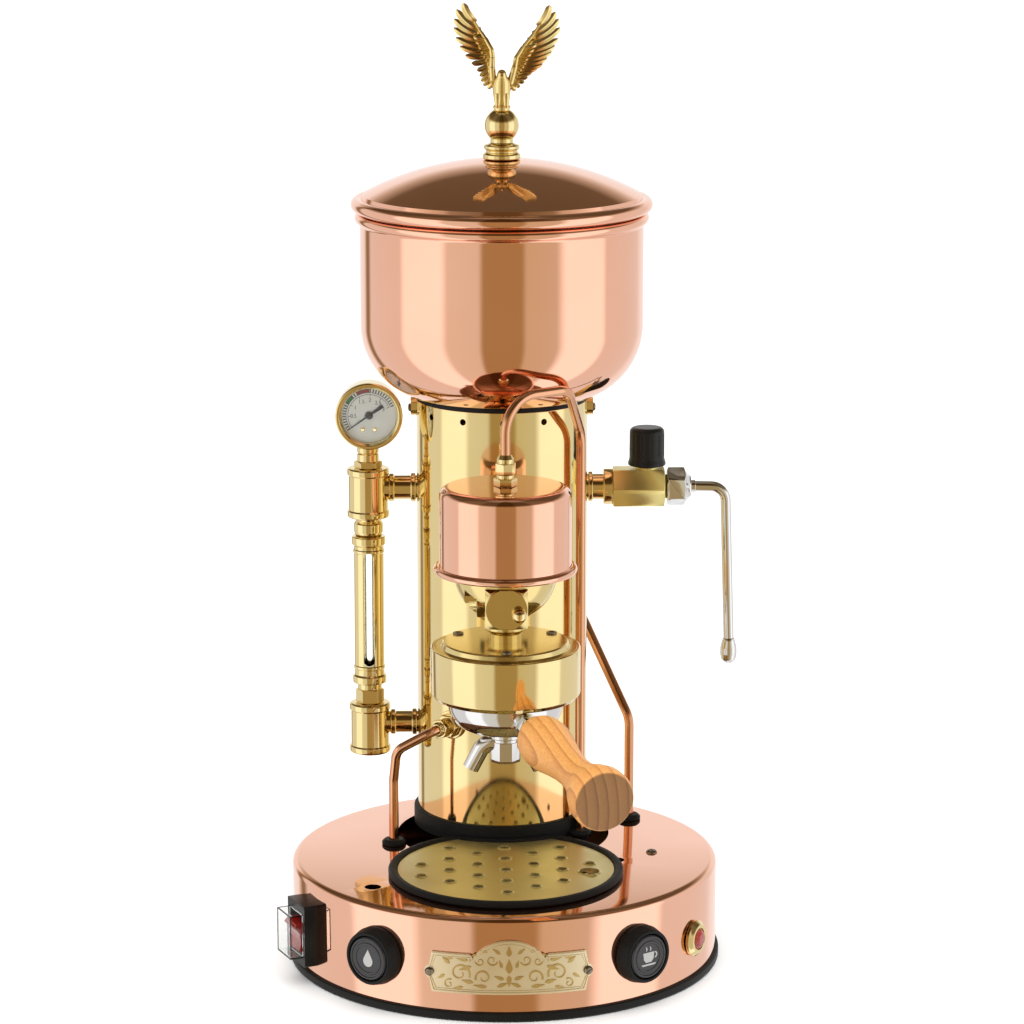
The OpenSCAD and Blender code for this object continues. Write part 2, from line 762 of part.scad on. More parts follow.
module drip_grille() {
    pitch_x = 17;
    pitch_y = 22;
    color("#cdb94f")
        difference() {
            translate([0, 0, grille_top - 1.6]) linear_extrude(1.6) tray_outline(grille_r);
            for (i = [-3:3])
                for (j = [-3:3]) {
                    x = i * pitch_x;
                    y = j * pitch_y + (abs(i) % 2) * pitch_y / 2 - 4;
                    if (norm([x, y]) < grille_r - 9 && y < 48)
                        translate([x, y - tray_y, grille_top - 5]) cylinder(r = 2.8, h = 10);
                }
            translate([50, -tray_y - 9, grille_top - 5]) cylinder(r = 6, h = 10);
        }
}

// Brass plate curved to the drum: a bar with a half-round crest
module name_plate() {
    color("#d9c55a")
        intersection() {
            difference() {
                cylinder(r = base_r + 2, h = base_h);
                translate([0, 0, -cut]) cylinder(r = base_r, h = base_h + 2 * cut);
            }
            translate([0, -60, 0]) rotate([90, 0, 0]) linear_extrude(90) union() {
                translate([-46, 17]) square([92, 24.5]);
                for (s = [-1, 1]) translate([46 * s, 29.2]) circle(r = 4.5);
                intersection() {
                    translate([0, 24]) circle(r = 26.2);
                    translate([-23, 40]) square([46, 12]);
                }
            }
        }
}

// Small round-headed screws: two in the name plate, one in the base, three in the group plate,
// two in the bowl's straps and four in the base plate
module small_screws() {
    color("#8f8a80") {
        for (s = [-1, 1])
            rotate([0, 0, s * plate_screw_turn]) translate([0, -base_r - 2, 29.2])
                rotate([90, 0, 0]) cylinder(r = screw_r, h = 1.4);
        translate([90.4, -3, base_h]) cylinder(r = 3.4, h = 1.6);
        for (a = [30, 150, 270])
            at_group() rotate([0, 0, a]) translate([32.5, 0, 206]) {
                cylinder(r = 3.2, h = 2.2);
                translate([0, 0, -9]) cylinder(r = 1.55, h = 10);
            }
        for (s = [-1, 1])
            translate([s * (col_r + 3.6), col_y, 328]) rotate([0, s * 90, 0]) cylinder(r = screw_r, h = 1.4);
        for (a = [45:90:315])
            rotate([0, 0, a]) translate([110, 0, 0]) {
                translate([0, 0, 1.2]) cylinder(r = 4, h = 1.8);
                translate([0, 0, 2.5]) cylinder(r = 2.15, h = 5);
            }
    }
}

module switch_housing() {
    color("#171717")
        difference() {
            on_drum(-switch_turn, switch_z, base_r - 20) union() {
                translate([-13.5, -19, 17]) cube([27, 38, 11]);
                translate([-11, -14, 0]) cube([22, 28, 20]);
            }
            intersection() {
                cylinder(r = base_r, h = base_h);
                on_drum(-switch_turn, switch_z, base_r - 20) difference() {
                    translate([-20, -25, -2]) cube([40, 50, 25]);
                    translate([-11, -14, -3]) cube([22, 28, 30]);
                }
            }
            on_drum(-switch_turn, switch_z, base_r - 14) translate([-8.2, -11.2, 0]) cube([16.4, 22.4, 40]);
            on_drum(-switch_turn, switch_z, base_r - 4)
                rotate([0, 90, 0]) cylinder(r = 1.6, h = 18.4, center = true);
        }
}

// Two-position rocker that tilts about a pin across its middle
module power_rocker() {
    color("#c43a24")
        on_drum(-switch_turn, switch_z, base_r - 4) {
            rotate([0, 90, 0]) cylinder(r = 1.5, h = 18, center = true);
            rotate([9, 0, 0]) translate([-7.8, -9, -3]) cube([15.6, 18, 18]);
        }
}

// Clear splash cover over the rocker
module rocker_cover() {
    color("#e8eef0", 0.35)
        on_drum(-switch_turn, switch_z, base_r + 8) difference() {
            translate([-10.5, -13.5, 0]) cube([21, 27, 8]);
            translate([-9.6, -12.6, -cut]) cube([19.2, 25.2, 8]);
        }
}

// Black collars of the two push buttons, let into the drum's side
module button_bezels() {
    color("#171717")
        for (s = [-1, 1]) difference() {
            on_drum(s * button_turn, button_z, base_r - 18) rotate_extrude()
                polygon([[9, 0], [12.1, 0], [12.1, 16], [17.7, 16], [17.7, 20], [15.8, 27.2],
                         [13.6, 27.2], [13.6, 19.4], [9, 19.4]]);
            intersection() {
                cylinder(r = base_r, h = base_h);
                on_drum(s * button_turn, button_z, base_r - 19) ring(30, 11.9, 30);
            }
        }
}

module push_cap() {
    translate([0, 0, 21.6]) cylinder(r = 13.2, h = 6);
    translate([0, 0, 3]) cylinder(r = 8.8, h = 19);
}

module brew_button() {
    color("#2b2b2d") on_drum(button_turn, button_z, base_r - 18) push_cap();
}

module water_button() {
    color("#2b2b2d") on_drum(-button_turn, button_z, base_r - 18) push_cap();
}

module pilot_bezel() {
    color("#d9b64e")
        on_drum(pilot_turn, pilot_z, base_r - 14) difference() {
            union() {
                cylinder(r = 6.1, h = 15);
                translate([0, 0, 14.2]) cylinder(r = 11, h = 2);
                translate([0, 0, 16.2]) cylinder(r1 = 10.4, r2 = 8.4, h = 2.4);
            }
            translate([0, 0, 4]) cylinder(r = 5.2, h = 20);
            translate([0, 0, 17]) cylinder(r = 6.6, h = 20);
        }
}

module pilot_lens() {
    color("#c81e10")
        on_drum(pilot_turn, pilot_z, base_r - 14) {
            translate([0, 0, 5]) cylinder(r = 5.1, h = 12);
            translate([0, 0, 17]) cylinder(r1 = 6.4, r2 = 3.6, h = 3.4);
        }
}

// Vibration pump, lying in the base behind the tray
module pump() {
    color("#777b80")
        translate([-62, 76, 24]) rotate([0, 90, 25]) {
            cylinder(r = 15, h = 44);
            translate([0, 0, -14]) cylinder(r = 7, h = 15);
            translate([0, 0, 43]) cylinder(r = 9, h = 14);
        }
}

// Valve that sends hot water to the group or lets the pressure out
module solenoid_valve() {
    color("#77a0a8")
        translate([70, 52, 6]) {
            cylinder(r = 13, h = 30);
            translate([-9, -9, 30]) cube([18, 18, 12]);
        }
}

// Gland in the back of the base that the supply cord comes through
module cord_gland() {
    color("#171717")
        on_drum(180, gland_z, base_r - 12) difference() {
            union() {
                cylinder(r = 7.1, h = 13);
                translate([0, 0, 12.2]) cylinder(r = 10, h = 2);
                translate([0, 0, 14]) cylinder(r1 = 8, r2 = 6, h = 7);
            }
            translate([0, 0, -cut]) cylinder(r = 3.6, h = 40);
        }
}

base_shell();
base_plate();
base_trim_ring();
pipe_grommets();
column_casing();
column_foot_ring();
column_gasket();
boiler();
heating_element();
water_bowl();
bowl_lugs();
lid();
finial_stem();
finial_bird();
gauge_tees();
sight_guard();
sight_glass();
gauge_nuts();
gauge_case();
gauge_dial();
gauge_glass();
gauge_needle();
steam_pipe();
steam_valve_body();
steam_stem();
steam_knob();
steam_nut();
steam_wand();
steam_tip();
group_body();
group_plug();
group_cover();
group_top_plate();
group_band();
group_gasket();
shower_screen();
portafilter();
filter_basket();
coffee_spout();
wood_handle();
group_pipe();
drain_pipe();
fill_pipe();
pipe_fittings();
drip_tray();
tray_ring();
drip_grille();
name_plate();
small_screws();
switch_housing();
power_rocker();
rocker_cover();
button_bezels();
brew_button();
water_button();
pilot_bezel();
pilot_lens();
pump();
solenoid_valve();
cord_gland();
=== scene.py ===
import math

import bmesh
import bpy
from mathutils import Matrix, Vector
from mathutils.geometry import delaunay_2d_cdt


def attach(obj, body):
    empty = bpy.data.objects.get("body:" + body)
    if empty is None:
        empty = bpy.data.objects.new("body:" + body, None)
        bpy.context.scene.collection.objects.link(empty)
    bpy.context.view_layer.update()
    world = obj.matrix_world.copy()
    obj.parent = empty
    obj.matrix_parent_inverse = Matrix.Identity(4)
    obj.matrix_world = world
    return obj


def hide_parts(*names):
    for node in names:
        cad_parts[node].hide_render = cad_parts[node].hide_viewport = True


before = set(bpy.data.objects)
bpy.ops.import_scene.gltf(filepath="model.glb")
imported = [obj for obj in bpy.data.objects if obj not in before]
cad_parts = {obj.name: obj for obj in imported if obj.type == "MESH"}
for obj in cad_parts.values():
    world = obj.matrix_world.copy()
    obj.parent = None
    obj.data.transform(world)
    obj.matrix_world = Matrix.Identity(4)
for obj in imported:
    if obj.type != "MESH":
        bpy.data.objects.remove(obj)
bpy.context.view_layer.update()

# Places along Y, in millimetres: the column stands behind the middle and the group in front of it.
column_y = 70.5
group_y = -34


# ---------------------------------------------------------------- studio
# A long lens a little above the machine and a pale floor. The metal mirrors a room that is not
# seen itself: two tall softboxes stand left and right of the front, with warm dim wall between
# them and a dark ceiling above. Everything else is lit by plain white all round and two suns.
camera = bpy.data.objects.new("camera", bpy.data.cameras.new("camera"))
bpy.context.scene.collection.objects.link(camera)
camera.location = (-0.0456, -2.2148, 0.7603)
camera.rotation_euler = (math.radians(90 - 12.31), 0, math.radians(-1.3))
camera.data.sensor_width = 36
camera.data.lens = 132.19
camera.data.clip_end = 50
bpy.context.scene.camera = camera
bpy.context.scene.view_settings.view_transform = "Standard"


def surface(name, sockets):
    """A new material, its plain values set on the shader's own sockets."""
    made = bpy.data.materials.new(name)
    made.use_nodes = True
    tree = made.node_tree
    skin = tree.nodes["Principled BSDF"]
    for socket, value in sockets.items():
        skin.inputs[socket].default_value = value
    return made, tree, skin.inputs


def coloured(tree, value, stops, socket=None):
    """Turns a value into colour through (position, colour) stops."""
    ramp = tree.nodes.new("ShaderNodeValToRGB")
    marks = ramp.color_ramp.elements
    marks[0].position = stops[0][0]
    marks[1].position = stops[-1][0]
    marks[0].color = (*stops[0][1], 1)
    marks[1].color = (*stops[-1][1], 1)
    for at, tint in stops[1:-1]:
        marks.new(at).color = (*tint, 1)
    tree.links.new(value, ramp.inputs[0])
    if socket:
        tree.links.new(ramp.outputs[0], socket)
    return ramp.outputs[0]


def ranged(tree, value, low, high, socket=None, start=0, end=1):
    """Turns a value that runs from start to end into one from low to high."""
    span = tree.nodes.new("ShaderNodeMapRange")
    span.inputs["From Min"].default_value = start
    span.inputs["From Max"].default_value = end
    span.inputs["To Min"].default_value = low
    span.inputs["To Max"].default_value = high
    tree.links.new(value, span.inputs["Value"])
    if socket:
        tree.links.new(span.outputs[0], socket)
    return span.outputs[0]


room = bpy.data.worlds.new("room")
bpy.context.scene.world = room
room.use_nodes = True
air = room.node_tree
air.nodes.clear()
split = air.nodes.new("ShaderNodeSeparateXYZ")
air.links.new(air.nodes.new("ShaderNodeTexCoord").outputs["Generated"], split.inputs[0])
flip = air.nodes.new("ShaderNodeMath")
flip.operation = "MULTIPLY"
flip.inputs[1].default_value = -1
air.links.new(split.outputs["Y"], flip.inputs[0])
turn = air.nodes.new("ShaderNodeMath")
turn.operation = "ARCTAN2"
air.links.new(split.outputs["X"], turn.inputs[0])
air.links.new(flip.outputs[0], turn.inputs[1])
compass = ranged(air, turn.outputs[0], 0, 1, start=-math.pi, end=math.pi)
bands = [(-180, (1, 1, 1)), (-150, (.98, .97, .96)), (-143, (.30, .22, .12)), (-139, (.30, .22, .12)),
         (-134, (.84, .83, .82)), (-92, (.84, .82, .80)), (-87, (1.28, 1.27, 1.26)),
         (-52, (1.28, 1.27, 1.26)), (-46, (.82, .79, .70)), (-20, (.78, .74, .64)), (-16, (.42, .30, .14)),
         (15, (.42, .30, .14)), (19, (.66, .58, .40)), (44, (.68, .62, .50)), (52, (1.26, 1.25, 1.25)),
         (88, (1.28, 1.27, 1.26)), (93, (.84, .82, .80)), (140, (.84, .83, .82)), (150, (.98, .97, .96)),
         (180, (1, 1, 1))]
walls = coloured(air, compass, [((angle + 180) / 360, tint) for angle, tint in bands])
levels = [(0, (1, 1, 1)), (.64, (1, 1, 1)), (.70, (.55, .48, .38)), (.76, (.16, .12, .07)),
          (.97, (.13, .10, .06)), (1, (.4, .34, .26))]
ceiling = coloured(air, ranged(air, split.outputs["Z"], 0, 1, start=-1), levels)
both = air.nodes.new("ShaderNodeMix")
both.data_type = "RGBA"
both.blend_type = "MULTIPLY"
both.inputs[0].default_value = 1
air.links.new(walls, both.inputs[6])
air.links.new(ceiling, both.inputs[7])
lit = air.nodes.new("ShaderNodeBackground")
air.links.new(both.outputs[2], lit.inputs["Color"])
plain = air.nodes.new("ShaderNodeBackground")
plain.inputs["Color"].default_value = (1, 1, 1, 1)
choose = air.nodes.new("ShaderNodeMixShader")
air.links.new(air.nodes.new("ShaderNodeLightPath").outputs["Is Glossy Ray"], choose.inputs[0])
air.links.new(plain.outputs[0], choose.inputs[1])
air.links.new(lit.outputs[0], choose.inputs[2])
air.links.new(choose.outputs[0], air.nodes.new("ShaderNodeOutputWorld").inputs["Surface"])

for name, spot, strength, wide in [("skylight", (-.5, -.9, 2), 1.5, 75), ("fill", (.8, .9, 2), 1.0, 75)]:
    lamp = bpy.data.objects.new(name, bpy.data.lights.new(name, "SUN"))
    bpy.context.scene.collection.objects.link(lamp)
    lamp.rotation_euler = (-Vector(spot)).to_track_quat("-Z", "Y").to_euler()
    lamp.data.energy = strength
    lamp.data.angle = math.radians(wide)
    lamp.visible_glossy = False

floor_mesh = bpy.data.meshes.new("floor")
floor_mesh.from_pydata([(-9, -9, 0), (9, -9, 0), (9, 9, 0), (-9, 9, 0)], [], [(0, 1, 2, 3)])
floor = bpy.data.objects.new("floor", floor_mesh)
bpy.context.scene.collection.objects.link(floor)
floor_paint, tree, skin = surface("floor_paint", {"Base Color": (.93, .93, .92, 1), "Roughness": .55})
floor_mesh.materials.append(floor_paint)
floor.visible_glossy = False


# ---------------------------------------------------------------- base drum
# A spun copper drum, polished and lacquered, open underneath. Its top edge is rolled to a
# small radius, and the openings for the tray, column, pipes and controls are punched.
def eased(points, closed, steps=6):
    """Rounds each corner that states a radius: (r, z, radius)."""
    out = []
    for i, p in enumerate(points):
        here = Vector(p[:2])
        if len(p) < 3 or (not closed and i in (0, len(points) - 1)):
            out.append(tuple(here))
            continue
        back = Vector(points[i - 1][:2]) - here
        on = Vector(points[(i + 1) % len(points)][:2]) - here
        half = back.angle(on) / 2
        reach = min(p[2] / math.tan(half), back.length * .49, on.length * .49)
        mid = here + (back.normalized() + on.normalized()).normalized() * reach / math.cos(half)
        first, last = here + back.normalized() * reach - mid, here + on.normalized() * reach - mid
        start = math.atan2(first.y, first.x)
        sweep = (math.atan2(last.y, last.x) - start + math.pi) % (2 * math.pi) - math.pi
        for k in range(steps + 1):
            a = start + sweep * k / steps
            out.append((mid.x + first.length * math.cos(a), mid.y + first.length * math.sin(a)))
    return out


def shown(name, verts, faces, smooth=35):
    """Links a mesh given in millimetres, its faces smooth but for the edges sharper than the angle."""
    mesh = bpy.data.meshes.new(name)
    mesh.from_pydata([tuple(c / 1000 for c in v) for v in verts], [], faces)
    piece = bpy.data.objects.new(name, mesh)
    bpy.context.scene.collection.objects.link(piece)
    bm = bmesh.new()
    bm.from_mesh(mesh)
    bmesh.ops.remove_doubles(bm, verts=bm.verts, dist=1e-7)
    bmesh.ops.recalc_face_normals(bm, faces=bm.faces)
    bm.to_mesh(mesh)
    bm.free()
    polished(piece, smooth)
    return piece


def polished(piece, smooth=35):
    """Shades the faces as one surface, but for the edges sharper than the angle."""
    for face in piece.data.polygons:
        face.use_smooth = True
    piece.data.set_sharp_from_angle(angle=math.radians(smooth))


def aimed(at, facing, roll=0):
    """The place of a thing whose own +Z points along facing."""
    turn = Vector(facing).to_track_quat("Z", "Y").to_matrix().to_4x4()
    return Matrix.Translation(Vector(at)) @ turn @ Matrix.Rotation(math.radians(roll), 4, "Z")


def turned(name, outline, at=(0, 0, 0), facing=(0, 0, 1), around=128, steps=6, roll=0, smooth=35):
    """A piece turned on a lathe: a closed outline makes a ring, one from axis to axis a solid."""
    closed = outline[0][0] > 1e-6
    line = eased(outline, closed, steps)
    place = aimed(at, facing, roll)
    verts, rows = [], []
    for r, z in line:
        if r < 1e-6:
            rows.append([len(verts)] * around)
            verts.append(place @ Vector((0, 0, z)))
        else:
            rows.append(list(range(len(verts), len(verts) + around)))
            for k in range(around):
                a = 2 * math.pi * k / around
                verts.append(place @ Vector((r * math.cos(a), r * math.sin(a), z)))
    faces = []
    for i in range(len(rows) if closed else len(rows) - 1):
        low, high = rows[i], rows[(i + 1) % len(rows)]
        for k in range(around):
            n = (k + 1) % around
            corners = [low[k], low[n], high[n], high[k]]
            face = [c for j, c in enumerate(corners) if c != corners[j - 1]]
            if len(face) > 2:
                faces.append(face)
    return shown(name, verts, faces, smooth)


def shaped(piece, tool, how="DIFFERENCE", smooth=35):
    """Cuts the tool out of the piece, or joins the two, and throws the tool away."""
    step = piece.modifiers.new("step", "BOOLEAN")
    step.operation = how
    step.solver = "EXACT"
    step.object = tool
    made = bpy.data.meshes.new_from_object(piece.evaluated_get(bpy.context.evaluated_depsgraph_get()))
    piece.modifiers.clear()
    piece.data = made
    bpy.data.objects.remove(tool)
    polished(piece, smooth)
    return piece


def block(name, outline, low, high, at=(0, 0, 0), facing=(0, 0, 1), roll=0, soft=0, smooth=35):
    """A plate or bar with the outline, from low to high, its long edges eased by soft."""
    place = aimed(at, facing, roll)
    n = len(outline)
    verts = [place @ Vector((x, y, low))
             for x, y in outline] + [place @ Vector((x, y, high)) for x, y in outline]
    faces = [list(range(n - 1, -1, -1)), list(range(n, 2 * n))]
    faces += [(i, (i + 1) % n, n + (i + 1) % n, n + i) for i in range(n)]
    piece = shown(name, verts, faces, smooth)
    return softened(piece, soft, smooth) if soft else piece


def softened(piece, soft, smooth=35, steps=3):
    """Bevels every edge sharper than 32 degrees by soft, in millimetres."""
    edge = piece.modifiers.new("edge", "BEVEL")
    edge.width = soft / 1000
    edge.segments = steps
    edge.limit_method = "ANGLE"
    edge.angle_limit = math.radians(32)
    edge.harden_normals = True
    made = bpy.data.meshes.new_from_object(piece.evaluated_get(bpy.context.evaluated_depsgraph_get()))
    piece.modifiers.clear()
    piece.data = made
    polished(piece, smooth)
    return piece


def disc(r, n=64, x=0, y=0, start=0, sweep=360):
    """Points on a circle about x, y, or on the part of it that sweep covers."""
    full = sweep == 360
    return [(x + r * math.cos(math.radians(start + sweep * k / (n if full else n - 1))),
             y + r * math.sin(math.radians(start + sweep * k / (n if full else n - 1)))) for k in range(n)]


def tray_edge(r, n=180):
    """The tray's outline: a circle with a bite that clears the column's foot."""
    bite = 55.8 + 71 - r
    far = math.hypot(0, 112.5)
    half = math.degrees(math.acos((far ** 2 + r ** 2 - bite ** 2) / (2 * far * r)))
    back = math.degrees(math.acos((far ** 2 + bite ** 2 - r ** 2) / (2 * far * bite)))
    outer = disc(r, n - 40, 0, -42, 90 + half, 360 - 2 * half)
    inner = disc(bite, 42, 0, column_y, 270 + back, -2 * back)
    return outer + inner[1:-1]


def cloud(tree, scale, detail=2, rough=.5, along=None):
    """Soft random blotches, finer with a larger scale."""
    noise = tree.nodes.new("ShaderNodeTexNoise")
    noise.inputs["Scale"].default_value = scale
    noise.inputs["Detail"].default_value = detail
    noise.inputs["Roughness"].default_value = rough
    if along:
        tree.links.new(along, noise.inputs["Vector"])
    return noise.outputs["Fac"]


def laid(tree, along, scale=(1, 1, 1), shift=(0, 0, 0), lean=(0, 0, 0)):
    """Stretches, shifts or leans the space that a pattern lies in."""
    lay = tree.nodes.new("ShaderNodeMapping")
    lay.inputs["Location"].default_value = shift
    lay.inputs["Rotation"].default_value = lean
    lay.inputs["Scale"].default_value = scale
    tree.links.new(along, lay.inputs["Vector"])
    return lay.outputs[0]


def relief(tree, height, strength, depth, socket):
    """Shallow unevenness, depth in metres."""
    bump = tree.nodes.new("ShaderNodeBump")
    bump.inputs["Strength"].default_value = strength
    bump.inputs["Distance"].default_value = depth
    tree.links.new(height, bump.inputs["Height"])
    tree.links.new(bump.outputs[0], socket)


def metal(name, tint, shine=.08, brushed=0, cast=0, tarnish=.25, stretch=(1, 1, 1), scratch=.02):
    """Bare or plated metal. Its tint drifts a little, its gloss is uneven from handling, and
    hairlines or a cast skin lie in its surface."""
    made, tree, skin = surface(name, {"Metallic": 1})
    place = tree.nodes.new("ShaderNodeTexCoord").outputs["Object"]
    dulled = [c * (1 - tarnish * w) for c, w in zip(tint, (.15, .3, .45))]
    coloured(tree, cloud(tree, 9, 3, along=place), [(.35, dulled), (.7, tint)], skin["Base Color"])
    ranged(tree, cloud(tree, 26, 6, .65, place), shine, shine * 1.7 + .01, skin["Roughness"], .3, .75)
    lines = cloud(tree, 900 if cast else 1500, 2, along=laid(tree, place, stretch))
    relief(tree, lines, scratch + brushed + cast, .0004 if cast else .0001, skin["Normal"])
    return made


def dressed(piece, material, body, *nodes, slot=None):
    """Gives a piece its material, the body it rides on and the nodes it stands for."""
    piece.data.materials.clear()
    piece.data.materials.append(material)
    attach(piece, body)
    if nodes:
        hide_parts(*nodes)
    return piece


def carried(material, *nodes):
    """Gives nodes that stay as they are a better material."""
    for node in nodes:
        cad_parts[node].data.materials.clear()
        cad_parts[node].data.materials.append(material)


def on_drum(turn, z, r=130):
    """A place on the drum's wall, turn degrees from the front, and the way out from there."""
    a = math.radians(turn)
    return (r * math.sin(a), -r * math.cos(a), z), (math.sin(a), -math.cos(a), 0)


copper = metal("copper", (.97, .56, .41), shine=.045, stretch=(1, 1, .02), scratch=.012)
drum = turned("drum", [(0, 63), (130, 63, 4), (130, 3, .4), (128.5, 3, .4), (128.5, 61.5, 2.5), (0, 61.5)],
              around=288, steps=10)
shaped(drum, block("hole", tray_edge(66), 55, 70))
shaped(drum, block("hole", disc(38, 96, 0, column_y), 55, 70))
for x, y in [(47.6, 35.8), (80, 68), (-68, 18)]:
    shaped(drum, block("hole", disc(5, 32, x, y), 55, 70))
for turn, z, r in [(-36.5, 33, 12.2), (36.5, 33, 12.2), (59.5, 29, 6.2), (180, 24, 7.2)]:
    spot, out = on_drum(turn, z)
    shaped(drum, block("hole", disc(r, 48), -12, 12, spot, out))
spot, out = on_drum(-66.5, 31)
shaped(drum, block("hole", [(-11.2, -14.2), (11.2, -14.2), (11.2, 14.2), (-11.2, 14.2)], -12,
                   12, spot, out))
dressed(drum, copper, "base", "base_shell", slot="copper")

# The drum stands on a black rubber ring pushed over its lower edge, and a sheet steel plate
# closes it from below.
rubber, tree, skin = surface("rubber", {"Specular IOR Level": .2})
dust = cloud(tree, 18, 5)
coloured(tree, dust, [(0, (.003, .003, .003)), (1, (.010, .0095, .009))], skin["Base Color"])
ranged(tree, dust, .38, .62, skin["Roughness"])
relief(tree, cloud(tree, 700, 4), .12, .0002, skin["Normal"])

foot = turned("foot_ring", [(120, 0, .6), (132, 0, 1.6), (132, 5.5, 2), (130.04, 5.5), (130.04, 3),
                            (120, 3, .6)],
              around=288)
dressed(foot, rubber, "base", "base_trim_ring", slot="black_rubber")
steel = metal("steel", (.62, .62, .62), shine=.28, stretch=(1, .03, 1), brushed=.25)
carried(steel, "base_plate", "heating_element", "steam_stem", "shower_screen")
# The gasket between the column and the bowl is a real black rubber seal. Its black also stands in for
# painted shade in the dark gap under the bowl.
carried(rubber, "column_gasket", "group_gasket")


def joined(name, pieces):
    """Like pieces in one mesh, each still a closed solid of its own."""
    bm = bmesh.new()
    for piece in pieces:
        bm.from_mesh(piece.data)
        bpy.data.objects.remove(piece)
    mesh = bpy.data.meshes.new(name)
    bm.to_mesh(mesh)
    bm.free()
    whole = bpy.data.objects.new(name, mesh)
    bpy.context.scene.collection.objects.link(whole)
    return whole


# Moulded rubber bushes line the three holes where copper pipes dip into the drum.
bushes = [turned("bush", [(3, 60), (4.9, 60), (4.9, 63), (7.4, 63, .6), (7.4, 65, .8), (5.8, 66.5, 1),
                          (3, 66.5, .4)],
                 (x, y, 0), around=48) for x, y in [(47.6, 35.8), (80, 68), (-68, 18)]]
dressed(joined("bushes", bushes), rubber, "base", "pipe_grommets", slot="black_rubber")


# ---------------------------------------------------------------- column
# A brass tube, brushed by the mill and then polished bright, with a row of small vent holes
# under its top edge. It is only a cover: the boiler stands inside it.
def true_round(piece, x, y, r_low, r_high):
    """Gives the tube's walls the normals of a true cylinder, so that holes leave no dents in its gloss."""
    mesh = piece.data
    normals = [Vector(n.vector) for n in mesh.corner_normals]
    for face in mesh.polygons:
        mid = Vector((face.center.x * 1000 - x, face.center.y * 1000 - y, 0))
        outward = abs(face.normal.z) <= .1 and abs(face.normal.dot(mid.normalized())) >= .98
        if not outward or not r_low < mid.length < r_high:
            continue
        side = 1 if face.normal.dot(mid) > 0 else -1
        for loop in face.loop_indices:
            at = mesh.vertices[mesh.loops[loop].vertex_index].co
            normals[loop] = Vector((at.x * 1000 - x, at.y * 1000 - y, 0)).normalized() * side
    mesh.normals_split_custom_set([tuple(n) for n in normals])


brass = metal("brass", (.88, .73, .38), shine=.06, stretch=(1, 1, .02), scratch=.015)
column = turned("column", [(53, 63), (53, 334, .5), (51.5, 334, .5), (51.5, 63)],
                (0, column_y, 0), around=288)
for i in range(13):
    a = math.radians(i * 360 / 13)
    shaped(column, block("hole", disc(2, 24), -8, 8, (53 * math.sin(a), column_y - 53 * math.cos(a), 327.5),
                         (math.sin(a), -math.cos(a), 0)))
shaped(column, block("hole", [(-15.2, -12.2), (15.2, -12.2), (15.2, 12.2), (-15.2, 12.2)], -9,
                     9, (0, 20, 232), (0, -1, 0)))
true_round(column, 0, column_y, 50, 54)
dressed(column, brass, "base", "column_casing", slot="brass")
foot = turned("column_foot", [(53.05, 63), (55.5, 63), (55.5, 74, 1.2), (53.05, 74)],
              (0, column_y, 0), around=192)
dressed(foot, rubber, "base", "column_foot_ring", slot="black_rubber")
boiler_copper = metal("boiler_copper", (.74, .40, .26), shine=.3, tarnish=.6)
carried(boiler_copper, "boiler")


# ---------------------------------------------------------------- water bowl and lid
# Both are spun from copper sheet over a former. Their rims are rolled into a bead, and the lid
# drops over the bowl on a short skirt.
def arc(x, z, r, start, end, steps=12):
    return [(x + r * math.cos(math.radians(start + (end - start) * i / steps)),
             z + r * math.sin(math.radians(start + (end - start) * i / steps))) for i in range(steps + 1)]


bowl = turned("bowl", [(5, 334.4)] + arc(41, 380.4, 46, -90, 0, 30) + [(87, 442.4, 2)]
              + arc(87, 446.5, 3.2, -78, 112, 16)
              + [(85.8, 443), *arc(41, 380.4, 44.8, 0, -90, 30), (5, 335.6)], (0, column_y, 0), around=256)
dressed(bowl, copper, "base", "water_bowl", slot="copper")
lid = turned("lid", arc(0, 301, 181, 90, 61.9, 30) + arc(88.3, 454.6, 4.2, 122, -125, 20)
             + [(84.5, 450.4, .5), (84.5, 440, .4), (83.3, 440, .4), (83.3, 456)]
             + arc(0, 301, 179.8, 62.4, 90, 30), (0, column_y, 0), around=256)
dressed(lid, copper, "lid_body", "lid", slot="copper")
carried(brass, "bowl_lugs")

# The knop on the lid is turned from brass bar, a ball on a waisted, ringed foot.
knop = turned("knop", [(0, 482), (11.6, 482, .8), (11.6, 485, 1.2), (9.8, 486.3, .6), (9.8, 487.3, .6),
                       (11, 488.4, 1), (11, 490.5, 1), (7, 491.8, 1), (7, 494.3, 1)]
              + arc(0, 502.4, 10.6, -49, 62, 24)
              + [(5, 513.2, .5), (5, 515, .4), (0, 515)], (0, column_y, 0), around=96)
dressed(knop, brass, "lid_body", "finial_stem", slot="brass")


# ---------------------------------------------------------------- level gauge
# A glass tube between two brass tees shows the boiler's level. A slotted brass sleeve guards
# the glass, gland nuts seal its ends, and the pressure dial screws on top.
def nut(name, flats, low, high, at, facing=(0, 0, 1), roll=0, bore=0, chamfer=1):
    """A hexagon nut with its corners turned down at both ends."""
    across = flats / 2 / math.cos(math.radians(30))
    piece = block(name, disc(across, 6), low, high, at, facing, roll)
    r = across + .02
    turned_down = turned("cone", [(0, low), (flats / 2 * .97, low), (r, low + chamfer * .62),
                                  (r, high - chamfer * .62), (flats / 2 * .97, high), (0, high)], at,
                         facing, around=96)
    shaped(piece, turned_down, "INTERSECT", 20)
    if bore:
        shaped(piece, turned("bore", [(0, low - 1), (bore, low - 1), (bore, high + 1), (0, high + 1)], at,
                             facing, around=48), smooth=20)
    return softened(piece, .25, 20, 2)


